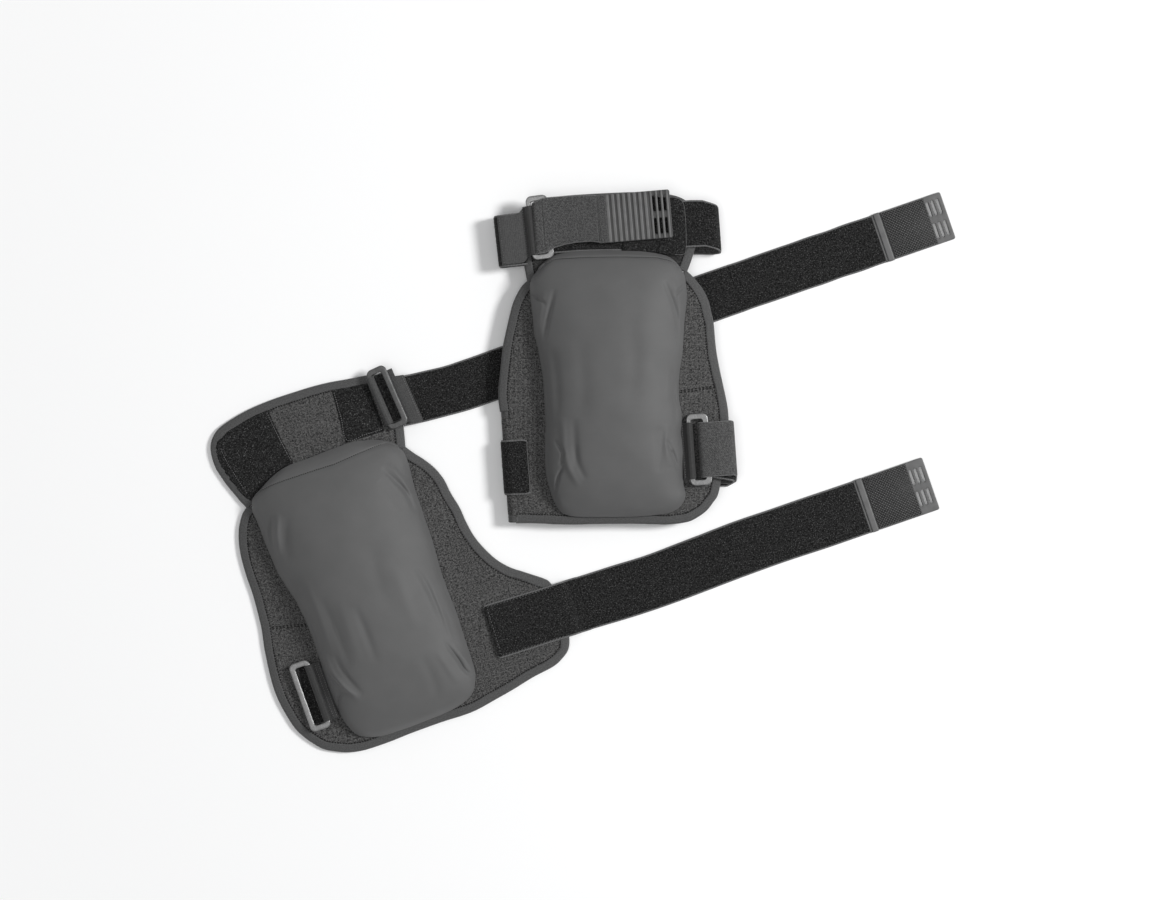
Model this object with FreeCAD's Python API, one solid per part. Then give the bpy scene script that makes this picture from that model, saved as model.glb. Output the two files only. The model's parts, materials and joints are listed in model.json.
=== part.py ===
import FreeCAD, Part
import math
import os
from FreeCAD import Vector

# A pair of motorcycle knee guards on a table, in millimetres, +Z up. The origin is the middle of the pair's
# footprint, on the table. The "open" guard lies face up with its two straps laid out to the right. The
# "closed" guard, its mirror-handed mate, stands between those straps with its own straps fastened.
# Each guard is drawn in its own frame (u across, v towards the thigh, z up) and then put in its place.

# ---- cloth ----
liner_t = 1.2          # knit lining against the leg
mesh_t = 3.0           # spacer mesh
layer_gap = 0.1        # between sewn layers
binding_width = 7.0    # tape over the panel's edge
binding_t = 0.6        # thickness of the tape
pile_t = 1.2           # hook and loop patches
clearance = 0.3        # between things that move or only touch
panel_t = liner_t + layer_gap + mesh_t
half_gap = clearance / 2

# ---- pad ----
cover_t = 1.6
armour_t = 3.0
pad_edge = 6.0         # height of the pad's side wall above the panel
pad_rise = 16.0        # further rise to the crown
armour_inset = 9.0     # from the cover's edge to the armour's edge

# ---- rings ----
ring_width = 20.0
ring_t = 2.5
ring_bar = 5.3         # free bar and the two ends
ring_keeper_bar = 4.0  # bar inside the webbing
ring_corner = 3.0
upper_ring_length = 58.0
lower_ring_length = 65.0
keeper_t = 1.2

# ---- straps ----
strap_t = 2.2
upper_strap_width = 45.0
lower_strap_width = 50.0
bar_length = 8.4       # moulded bar welded over the strap's end
bar_t = 3.4
grip_length = 58.0
grip_t = 2.0
rib_height = 0.8
rib_width = 3.2
rib_pitch = 5.25
rib_count = 11
hook_length = 41.0
slot_size = (2.0, 13.0)
slot_pitch = 4.9
slot_columns = 3
slot_row_gap = 7.0     # between the two rows of slots

# ---- places of the two guards ----
open_place = (-193.6, -108.6)
open_turn = 15.7
closed_place = (30.9, 77.7)

# ---- how each guard stands ----
open_edge_z = binding_t + 2 * layer_gap
open_arch = 16.0
closed_edge_z = 12.0
closed_arch = 15.0


def spline(points):
    curve = Part.BSplineCurve()
    curve.interpolate([Vector(u, v, 0) for u, v in points])
    return curve


def moved_out(points, distance):
    """The points moved to the right of the way that they run."""
    curve = spline(points)
    moved = []
    for u, v in points:
        tangent = curve.tangent(curve.parameter(Vector(u, v, 0)))[0]
        moved.append((u + tangent.y * distance, v - tangent.x * distance))
    return moved


def closed_face(points, distance=0.0):
    """A face inside one smooth run of points, closed by a straight line between its ends."""
    run = moved_out(points, distance) if distance else points
    curve = spline(run)
    chord = Part.LineSegment(Vector(*run[-1], 0), Vector(*run[0], 0))
    return Part.Face(Part.Wire([curve.toShape(), chord.toShape()]))


def band_face(points, outside, inside):
    """The strip from outside the run of points to inside it."""
    outer = moved_out(points, outside)
    inner = moved_out(points, -inside)
    edges = [
        spline(outer).toShape(),
        Part.LineSegment(Vector(*outer[-1], 0), Vector(*inner[-1], 0)).toShape(),
        spline(inner).toShape(),
        Part.LineSegment(Vector(*inner[0], 0), Vector(*outer[0], 0)).toShape(),
    ]
    return Part.Face(Part.Wire(Part.__sortEdges__(edges)))


def polygon(points):
    return Part.Face(Part.makePolygon([Vector(u, v, 0) for u, v in points + points[:1]]))


def prism(face, low=-20.0, high=120.0):
    solid = face.extrude(Vector(0, 0, high - low))
    solid.translate(Vector(0, 0, low))
    return solid


def relief(height, box, counts=(17, 21)):
    """A smooth surface z = height(u, v) over the box (u0, v0, u1, v1)."""
    u0, v0, u1, v1 = box
    rows = []
    for i in range(counts[0]):
        u = u0 + (u1 - u0) * i / (counts[0] - 1)
        row = []
        for j in range(counts[1]):
            v = v0 + (v1 - v0) * j / (counts[1] - 1)
            row.append(Vector(u, v, height(u, v)))
        rows.append(row)
    surface = Part.BSplineSurface()
    surface.interpolate(rows)
    return surface.toShape()


def layer(surface, low, high, face):
    """What lies over the face, from low to high above the surface."""
    slab = surface.extrude(Vector(0, 0, high - low))
    slab.translate(Vector(0, 0, low))
    return slab.common(prism(face))


def one_solid(shape):
    solids = sorted(shape.Solids, key=lambda s: s.Volume)
    return solids[-1]


def ribbon(points, radii, thickness):
    """A strip of even thickness along straight runs joined by arcs, as a flat face."""
    sides = {1: [], -1: []}
    ends = {1: [], -1: []}
    last = {}
    count = len(points)
    for side in (1, -1):
        half = side * thickness / 2
        vectors = [Vector(x, y, 0) for x, y in points]
        start = None
        for i in range(count - 1):
            along = (vectors[i + 1] - vectors[i]).normalize()
            normal = Vector(-along.y, along.x, 0)
            if start is None:
                start = vectors[i] + normal * half
                ends[side].append(start)
            if i == count - 2:
                stop = vectors[i + 1] + normal * half
                sides[side].append(Part.LineSegment(start, stop).toShape())
                ends[side].append(stop)
                break
            after = (vectors[i + 2] - vectors[i + 1]).normalize()
            turn = math.atan2(along.cross(after).z, along.dot(after))
            radius = radii[i]
            reach = radius * math.tan(abs(turn) / 2)
            enter = vectors[i + 1] - along * reach
            hand = 1 if turn > 0 else -1
            centre = enter + normal * radius * hand
            arm = radius - half * hand
            middle_way = (along + after).normalize()
            outward = Vector(middle_way.y, -middle_way.x, 0) * hand
            first = enter + normal * half
            after_normal = Vector(-after.y, after.x, 0)
            second = vectors[i + 1] + after * reach + after_normal * half
            if (first - start).Length > 1e-6:
                sides[side].append(Part.LineSegment(start, first).toShape())
            sides[side].append(Part.Arc(first, centre + outward * arm, second).toShape())
            start = second
    caps = [Part.LineSegment(ends[1][k], ends[-1][k]).toShape() for k in (0, 1)]
    return Part.Face(Part.Wire(Part.__sortEdges__(sides[1] + sides[-1] + caps)))


def upright(face, v0, v1):
    """Turns a face drawn in (u, z) upright and draws it out from v0 to v1."""
    shape = face.copy()
    shape.rotate(Vector(0, 0, 0), Vector(1, 0, 0), 90)
    shape.translate(Vector(0, v0, 0))
    return shape.extrude(Vector(0, v1 - v0, 0))


def box(u0, u1, v0, v1, z0, z1):
    return Part.makeBox(u1 - u0, v1 - v0, z1 - z0, Vector(u0, v0, z0))


# ---- pieces that both guards have ----

def ring(length):
    """A flat ring. Its keeper bar runs along v through the frame's origin, and its free bar is at +u."""
    keeper_edge = -ring_keeper_bar / 2
    outer = box(keeper_edge, keeper_edge + ring_width, -length / 2, length / 2, -ring_t / 2, ring_t / 2)
    upright_edges = [e for e in outer.Edges if abs(e.tangentAt(e.FirstParameter).z) > 0.9]
    outer = outer.makeFillet(ring_corner, upright_edges)
    slot_end = length / 2 - ring_bar
    slot = box(ring_keeper_bar / 2, keeper_edge + ring_width - ring_bar, -slot_end, slot_end, -ring_t, ring_t)
    return outer.cut(slot)


def keeper_bore():
    half_diagonal = math.hypot(ring_keeper_bar, ring_t) / 2
    return half_diagonal + half_gap


def keeper_roll():
    return keeper_bore() + keeper_t


def keeper(length, tab, width):
    """Webbing rolled round the keeper bar, with its sewn tab lying below the bar and reaching to tab."""
    roll = Part.makeCylinder(keeper_roll(), width, Vector(0, -width / 2, 0), Vector(0, 1, 0))
    low = -keeper_roll()
    u0, u1 = min(0.0, tab), max(0.0, tab)
    flat = box(u0, u1, -width / 2, width / 2, low, low + keeper_t)
    bore = Part.makeCylinder(keeper_bore(), length, Vector(0, -length / 2, 0), Vector(0, 1, 0))
    return roll.fuse(flat).removeSplitter().cut(bore)


def grip(width):
    """A moulded pull along +u from the origin, ribs below, a flat face on top, slots at its free end."""
    plate = box(0, grip_length, -width / 2, width / 2, rib_height, rib_height + grip_t)
    for i in range(rib_count):
        u = rib_pitch * i + (rib_pitch - rib_width) / 2
        if u + rib_width <= grip_length:
            plate = plate.fuse(box(u, u + rib_width, -width / 2, width / 2, 0, rib_height + grip_t / 2))
    wide, long = slot_size
    for i in range(slot_columns):
        u = grip_length - slot_pitch * (i + 1)
        for side in (-1, 1):
            middle = side * (slot_row_gap / 2 + long / 2)
            cut = box(u - wide / 2, u + wide / 2, middle - long / 2, middle + long / 2, -1, grip_t + 2)
            plate = plate.cut(cut)
    return plate.removeSplitter()


def weld_bar(width):
    return box(0, bar_length, -width / 2, width / 2, 0, bar_t)


def hook_tape(width):
    """The hook tape on the grip's flat face."""
    low = rib_height + grip_t
    return box(0.5, 0.5 + hook_length, -width / 2 + 1, width / 2 - 1, low, low + pile_t)


def put(shape, spot, heading=0.0, tilt=0.0, flip=False):
    """Tilts the shape about v (its +u side rises), turns it about z and moves its origin to the spot."""
    out = shape.copy()
    if flip:
        out.rotate(Vector(0, 0, 0), Vector(0, 0, 1), 180)
        tilt = -tilt
    out.rotate(Vector(0, 0, 0), Vector(0, 1, 0), -tilt)
    out.rotate(Vector(0, 0, 0), Vector(0, 0, 1), heading)
    out.translate(Vector(*spot))
    return out


def loop_face(points, distance=0.0):
    """A face inside a smooth closed run of points, grown by the distance."""
    curve = Part.BSplineCurve()
    curve.interpolate(Points=[Vector(u, v, 0) for u, v in points], PeriodicFlag=True)
    if distance:
        moved = []
        for u, v in points:
            tangent = curve.tangent(curve.parameter(Vector(u, v, 0)))[0]
            moved.append(Vector(u + tangent.y * distance, v - tangent.x * distance, 0))
        curve = Part.BSplineCurve()
        curve.interpolate(Points=moved, PeriodicFlag=True)
    return Part.Face(Part.Wire([curve.toShape()]))


def crown(base, pad):
    """The pad's top as a height field: steep near its edge, gently domed in the middle."""
    def height(u, v):
        across = min(1.0, abs(u - pad["lean"](v)) / pad["half_width"](v))
        along = min(1.0, abs(v - pad["middle"]) / pad["half_length"])
        rise = pad_rise * (1 - across ** 4) * (1 - along ** 6)
        return base(u, v) + panel_t + pad_edge + rise
    return height


def raised(shape, distance):
    out = shape.copy()
    out.translate(Vector(0, 0, distance))
    return out


def padded_pieces(name, base, surface, pad, field):
    """The pad: cover, top gusset, armour shell and foam, stacked on the panel."""
    tall = pad_edge + pad_rise + 40.0
    roof = relief(crown(base, pad), field, (21, 25)).extrude(Vector(0, 0, -tall))
    above_panel = raised(surface, panel_t + layer_gap).extrude(Vector(0, 0, tall))
    outer = above_panel.common(prism(loop_face(pad["outline"]))).common(roof)
    inner = prism(loop_face(pad["outline"], -cover_t))
    shell = outer.cut(inner.common(raised(roof, -cover_t)))
    behind_seam = prism(polygon(pad["seam"]))
    gusset = shell.common(behind_seam)
    ahead = behind_seam.copy()
    ahead.translate(Vector(0, -layer_gap, 0))
    cover = shell.cut(ahead)
    armour_top = -cover_t - layer_gap
    armour = raised(roof, armour_top).cut(raised(roof, armour_top - armour_t))
    armour = armour.common(prism(loop_face(pad["outline"], -armour_inset)))
    foam_floor = raised(surface, panel_t + 2 * layer_gap).extrude(Vector(0, 0, tall))
    foam = foam_floor.common(prism(loop_face(pad["outline"], -cover_t - layer_gap)))
    foam = foam.common(raised(roof, armour_top - armour_t - layer_gap))
    return {
        name + "_pad_cover": one_solid(cover),
        name + "_pad_gusset": one_solid(gusset),
        name + "_armour_shell": one_solid(armour),
        name + "_pad_foam": one_solid(foam),
    }


def bound_panel(surface, outline, bound_runs, pad):
    """Liner, mesh and binding of one panel whose outline closes along its seam. The pad stands clear."""
    inner = closed_face(outline)
    liner = layer(surface, 0, liner_t, inner)
    mesh = layer(surface, liner_t + layer_gap, panel_t, inner)
    core = layer(surface, -layer_gap, panel_t + layer_gap, closed_face(outline, layer_gap))
    under_pad = layer(surface, panel_t, pad_edge + pad_rise, loop_face(pad["outline"], clearance))
    strips = []
    for run in bound_runs:
        strip = layer(surface, -layer_gap - binding_t, panel_t + layer_gap + binding_t,
                      band_face(run, binding_t + layer_gap, binding_width))
        strips.append(one_solid(strip.cut(core).cut(under_pad)))
    return one_solid(liner), one_solid(mesh), Part.makeCompound(strips)


def arch_field(edge_z, rise, middle_u, span_u, middle_v, below_v, above_v):
    """Height of a panel's underside: flat at the rim, raised under the knee."""
    def height(u, v):
        away = abs(u - middle_u)
        across = math.cos(math.pi * away / span_u) ** 2 if away < span_u / 2 else 0.0
        reach = above_v if v > middle_v else below_v
        along = max(0.0, 1 - ((v - middle_v) / reach) ** 2) ** 1.5
        return edge_z + rise * across * along
    return height


def strap_end(name, shapes, spot, heading, width, tilt=0.0, back=False, ribs_up=False):
    """Weld bar, hook tape and grip at a strap's end. The spot is the end of the strap, at its inner face."""
    pieces = {"bar": weld_bar(width), "grip": grip(width), "hook_tape": hook_tape(width)}
    pieces["grip"].translate(Vector(bar_length, 0, 0))
    pieces["hook_tape"].translate(Vector(bar_length, 0, 0))
    for piece, shape in pieces.items():
        if ribs_up:
            shape.rotate(Vector(0, 0, 0), Vector(1, 0, 0), 180)
        shapes[name + "_" + piece] = put(shape, spot, heading, tilt, back)


# ---- the open guard ----

open_body = [
    (-88, 104), (-98, 92), (-103.5, 75), (-105, 45), (-104.4, 0), (-108, -35), (-108, -65), (-100, -100),
    (-80, -125), (-50, -135.4), (0, -132.2), (50, -129.4), (100, -119), (140, -109), (157, -98),
    (161.5, -70), (157.5, -38), (137, -20.5), (117, -3.3), (102.5, 23), (96.7, 52), (90, 80), (78, 102),
    (64.5, 118.5),
]
open_cuff = [
    (64.5, 119.5), (67.5, 137), (69, 160), (66, 182), (55, 189.5), (30, 191.5), (0, 193.5), (-40, 192),
    (-75, 186.5), (-97, 178), (-106, 158), (-104, 142), (-96, 121), (-88.5, 105),
]
open_pad = {
    "outline": [
        (-80, 108), (-82.5, 97), (-79.4, 70), (-75.6, 41), (-69.4, 20), (-64.4, 0), (-60.6, -30),
        (-59.4, -72), (-55.6, -101), (-47, -119.5), (-30, -126.5), (0, -126), (30, -123), (55, -117),
        (67, -105), (70, -90), (69, -60), (67, -25), (65, 0), (64, 50), (62.5, 85), (63, 100), (60, 117.5),
        (50, 127), (32, 132.8), (0, 133), (-40, 129.5), (-65, 120),
    ],
    "seam": [(-95, 112), (-50, 119), (0, 120.5), (32, 125), (50, 127), (75, 130), (75, 150), (-95, 150)],
    "lean": lambda v: -2.3 - 0.067 * v,
    "half_width": lambda v: 65.2 + 0.062 * v,
    "middle": 3.0,
    "half_length": 130.0,
}
open_cuff_patches = {
    "open_cuff_hook_patch": [(-96, 170), (-94, 152), (-90, 135), (-84, 119), (-74, 119), (-60, 125.5),
                             (-37, 132.5), (-43, 165), (-45.5, 186), (-70, 181), (-88, 176)],
    "open_cuff_loop_patch": [(16, 139), (47, 139), (44, 184), (16, 186)],
}
open_top_z = open_edge_z + panel_t
open_upper_ring_at = (54.5, 165.0, open_top_z + 6.1)
open_upper_ring_heading = 8.0
open_upper_ring_tilt = 18.0
open_lower_ring_at = (-70.7, -74.5, open_top_z + 7.8)
open_lower_ring_heading = 4.0
open_lower_ring_tilt = -9.0
upper_keeper_width = 42.0
lower_keeper_width = 53.0
open_upper_tab = 21.0      # reach of the keeper's tab, which is sewn over the strap's end
open_lower_tab = 8.5
open_upper_start = (70.6, 159.6)
open_upper_sewn = 7.0      # length of strap under the tab
open_upper_run = [(100.6, 158), (125, 157.5), (190, 162), (365, 174.6), (530, 184.3)]
open_upper_split = 392.0   # where the strap starts to lift
open_lower_start = (94.5, -64.3)
open_lower_heading = 1.5
open_lower_sewn = 71.5
strap_ramp = 8.0           # run over which a sewn strap comes down to the table
strap_foot = 8.5
open_lower_run = [(182.9, -62), (250.7, -60.2), (335.5, -52.4), (414.4, -48.2), (449.3, -46.1)]
strap_bend = 350.0     # radius of the slow bends of a strap that lies flat


def flat_strap(points, width):
    radii = [strap_bend] * (len(points) - 2)
    return ribbon(points, radii, width).extrude(Vector(0, 0, strap_t))


def heading_of(points):
    (u0, v0), (u1, v1) = points
    return math.degrees(math.atan2(v1 - v0, u1 - u0))


def sewn_strap(high_z, sewn_length, foot_length, width):
    """A strap that starts level at high_z and comes down to the table."""
    ramp_end = sewn_length + strap_ramp
    low_z = strap_t / 2
    points = [(0, high_z), (sewn_length, high_z), (ramp_end, low_z), (ramp_end + foot_length, low_z)]
    return upright(ribbon(points, [strap_ramp, strap_ramp], strap_t), -width / 2, width / 2)


def open_guard():
    shapes = {}
    base = arch_field(open_edge_z, open_arch, -8.0, 195.0, 25.0, 165.0, 165.0)
    surface = relief(base, (-130, -155, 185, 215))
    liner, mesh, binding = bound_panel(surface, open_body, [open_body], open_pad)
    shapes["open_body_liner"] = liner
    shapes["open_body_panel"] = mesh
    shapes["open_body_binding"] = binding
    liner, mesh, binding = bound_panel(surface, open_cuff, [open_cuff[:5], open_cuff[4:]], open_pad)
    shapes["open_cuff_liner"] = liner
    shapes["open_cuff_panel"] = mesh
    shapes["open_cuff_binding"] = binding
    shapes.update(padded_pieces("open", base, surface, open_pad, (-100, -145, 90, 150)))
    pad_zone = prism(loop_face(open_pad["outline"], clearance))
    patch_low = panel_t + layer_gap
    for name, points in open_cuff_patches.items():
        patch = layer(surface, patch_low, patch_low + pile_t, polygon(points)).cut(pad_zone)
        shapes[name] = one_solid(patch.cut(shapes["open_cuff_binding"]))
    shapes["open_upper_ring"] = put(ring(upper_ring_length), open_upper_ring_at,
                                    open_upper_ring_heading, open_upper_ring_tilt)
    shapes["open_upper_ring_keeper"] = put(keeper(upper_ring_length, open_upper_tab, upper_keeper_width),
                                           open_upper_ring_at, open_upper_ring_heading)
    shapes["open_lower_ring"] = put(ring(lower_ring_length), open_lower_ring_at,
                                    open_lower_ring_heading, open_lower_ring_tilt, True)
    shapes["open_lower_ring_keeper"] = put(keeper(lower_ring_length, -open_lower_tab, lower_keeper_width),
                                           open_lower_ring_at, open_lower_ring_heading,
                                           open_lower_ring_tilt, True)
    tab_z = open_upper_ring_at[2] - keeper_roll()
    heading = heading_of((open_upper_start, open_upper_run[0]))
    reach = math.dist(open_upper_start, open_upper_run[0])
    foot_length = reach - open_upper_sewn - strap_ramp
    sewn = sewn_strap(tab_z - clearance - strap_t / 2, open_upper_sewn, foot_length, upper_strap_width)
    sewn = put(sewn, (*open_upper_start, 0), heading)
    whole = flat_strap(open_upper_run, upper_strap_width)
    far = open_upper_run[-1][0] + grip_length
    v0, v1 = open_upper_run[0][1] - upper_strap_width, open_upper_run[-1][1] + upper_strap_width
    before = box(0, open_upper_split - half_gap, v0, v1, -strap_t, 2 * strap_t)
    after = box(open_upper_split + half_gap, far, v0, v1, -strap_t, 2 * strap_t)
    shapes["open_upper_strap_root"] = one_solid(whole.common(before).fuse(sewn).removeSplitter())
    shapes["open_upper_strap_end"] = one_solid(whole.common(after))
    end_u, end_v = open_upper_run[-1]
    strap_end("open_upper", shapes, (end_u + half_gap, end_v, 0), heading_of(open_upper_run[-2:]),
              upper_strap_width)
    sewn_z = open_top_z + layer_gap + binding_t + clearance + strap_t / 2
    root = sewn_strap(sewn_z, open_lower_sewn, strap_foot, lower_strap_width)
    shapes["open_lower_strap_root"] = put(root, (*open_lower_start, 0), open_lower_heading)
    shapes["open_lower_strap_end"] = flat_strap(open_lower_run, lower_strap_width)
    end_u, end_v = open_lower_run[-1]
    strap_end("open_lower", shapes, (end_u + half_gap, end_v, 0), heading_of(open_lower_run[-2:]),
              lower_strap_width)
    return shapes


# ---- the closed guard ----

closed_body = [
    (-82.5, 95.5), (-90, 86.5), (-96, 73), (-101.5, 50), (-105.4, 27), (-108.3, 0), (-107, -25),
    (-103.5, -60), (-99, -100), (-94, -120), (-80, -123), (-40, -123.8), (0, -123), (46, -123.8),
    (70, -117.7), (84.6, -103.8), (91.5, -85), (95.5, -60), (97.5, -33), (93, 2.3), (87, 30), (84.6, 57.7),
    (80, 77.7), (71, 93), (60.8, 103.8),
]
closed_cuff = [
    (60.8, 104.8), (68, 126), (71, 145), (66, 160), (52, 166), (0, 167), (-50, 165), (-78, 161),
    (-87.5, 150), (-88, 130), (-85.4, 111), (-82.5, 96.5),
]
closed_pad = {
    "outline": [
        (-78.5, 97), (-79.5, 85), (-77, 62), (-72.3, 34.6), (-67.7, 7), (-66, -19), (-66, -50), (-65.3, -75),
        (-61, -94), (-54, -110), (-42, -116), (-20, -116.6), (20, -116), (42, -113.5), (56, -105.4),
        (59, -95), (57, -73), (56, -50), (54.8, -27), (52.8, 0), (55.5, 28), (58, 60), (60, 82), (57.5, 100),
        (46, 114.5), (30, 119.3), (0, 121.5), (-40, 120.8), (-62, 114.5), (-74, 103.5),
    ],
    "seam": [(-95, 112.5), (-58, 115.5), (34, 115.5), (75, 112.5), (75, 140), (-95, 140)],
    "lean": lambda v: -5.4 - 0.051 * v,
    "half_width": lambda v: 63.3 + 0.0465 * v,
    "middle": 2.5,
    "half_length": 119.0,
}
wing_at = (-96.0, -72.0)
wing_heading = 4.0
wing_length = 101.0
wing_under = 46.0      # how far the folded wing reaches back under the guard
wing_z = strap_t + clearance + 0.1
wing_lip = 1.0
wing_slack = 0.8       # between the folded wing and the strap round it
lower_strap_shift = 1.0
closed_strap_width = 42.0    # the upper strap narrows as it is pulled
fold_radius = 2.9      # of a strap round a ring's free bar
closed_top_z = closed_edge_z + panel_t
closed_upper_ring_at = (-79.5, 145.0, closed_top_z + 5.6)
closed_upper_ring_tilt = 3.5
closed_lower_ring_at = (64.0, -58.7, closed_top_z + 8.0)
closed_lower_ring_tilt = -4.0
closed_upper_ring_heading = 7.0
closed_lower_ring_heading = 4.0
closed_upper_at = (0.0, 148.0, 0.0)
closed_upper_heading = 3.0
closed_tab = 6.0       # reach of a keeper's tab
tail_start = -68.6     # where the folded-back end leaves the ring's free bar
tail_stop = -20.0
tail_rise = 3.8
lower_sewn_reach = 14.0    # from the wing's fold to the strap's sewn end
lower_sewn_rise = 2.1
lower_loop_reach = 22.4    # from the ring's free bar to the outside of the strap's loop
lower_tail_stop = 128.0
lower_bar_gap = 2.6        # between the free bar and the strap that goes down past it
upper_bar_gap = 4.5
upper_left_fold = -110.9
upper_right_fold = 90.0
flap_u = (10.0, 60.0)      # the hook patch over the crossing strap
flap_v = (122.5, 171.0)
flap_rise = (7.7, 5.7)


def seen_from(spot, origin, heading):
    """Place of a spot along u in a frame at the origin, turned by the heading."""
    turn = math.radians(heading)
    return (spot[0] - origin[0]) * math.cos(turn) + (spot[1] - origin[1]) * math.sin(turn)


def free_bar(at, tilt, origin, heading):
    """u and z of the middle of a ring's free bar, in the strap's frame."""
    reach = ring_width - ring_keeper_bar / 2 - ring_bar / 2
    slope = math.radians(tilt)
    return seen_from(at, origin, heading) + reach * math.cos(slope), at[2] + reach * math.sin(slope)


def closed_lower_strap():
    """From its sewn end round the folded wing, under the guard, up through the ring and back under."""
    floor_z = strap_t / 2
    wing_centre = wing_z + panel_t / 2
    lip_centre = closed_edge_z + panel_t / 2
    round_wing = (lip_centre - wing_centre) / 2 + panel_t / 2 + wing_slack + strap_t / 2
    top_z = floor_z + 2 * round_wing
    under_z = rib_height + grip_t + pile_t + clearance + strap_t / 2
    bar_u, bar_z = free_bar(closed_lower_ring_at, closed_lower_ring_tilt, wing_at, wing_heading)
    fold = bar_u - ring_bar / 2 - lower_bar_gap - strap_t / 2
    inner = bar_u + lower_loop_reach
    outer = inner + strap_t + clearance
    low_z = bar_z - fold_radius
    high_z = bar_z + fold_radius
    down = wing_under + strap_t
    points = [
        (lower_sewn_reach, top_z + lower_sewn_rise), (wing_lip + 0.5, top_z), (-round_wing, top_z),
        (-round_wing, floor_z), (down, floor_z), (down + 14.0, under_z), (inner, under_z),
        (inner, low_z - 0.4), (bar_u + 9.0, low_z), (fold, low_z), (fold, high_z), (bar_u + 10.0, high_z),
        (outer, bar_z - 0.7), (outer, floor_z), (lower_tail_stop, floor_z),
    ]
    radii = [8.0, round_wing, round_wing, 10.0, 20.0, 6.0, 5.5, 10.0, fold_radius, fold_radius, 12.0, 5.0,
             5.0]
    return ribbon(points, radii, strap_t)


def closed_upper_root():
    """From the ring's keeper to the left, round a fold and behind the leg."""
    start = closed_upper_ring_at[0] - closed_tab - 0.5
    top_z = closed_upper_ring_at[2] - keeper_roll() + keeper_t / 2
    behind = -half_gap - 1.5
    points = [(start, top_z), (upper_left_fold, top_z), (upper_left_fold, strap_t / 2), (behind, strap_t / 2)]
    return ribbon(points, [7.0, 7.0], strap_t)


def closed_upper_front():
    """From behind the leg round the right side, over the cuff and through the ring."""
    bar_u, bar_z = free_bar(closed_upper_ring_at, closed_upper_ring_tilt, closed_upper_at,
                            closed_upper_heading)
    fold = bar_u - ring_bar / 2 - upper_bar_gap - strap_t / 2
    low_z = bar_z - fold_radius
    high_z = bar_z + fold_radius
    points = [
        (0, strap_t / 2), (upper_right_fold, strap_t / 2), (upper_right_fold, closed_top_z + 2.1),
        (75, closed_top_z + 2.9), (-6, closed_top_z + 6.5), (-40, closed_top_z + 5.9), (-57, low_z),
        (fold, low_z), (fold, high_z), (fold + fold_radius + 0.5, high_z),
    ]
    return ribbon(points, [8.0, 7.0, 20.0, 60.0, 30.0, 20.0, fold_radius, fold_radius], strap_t)


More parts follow.
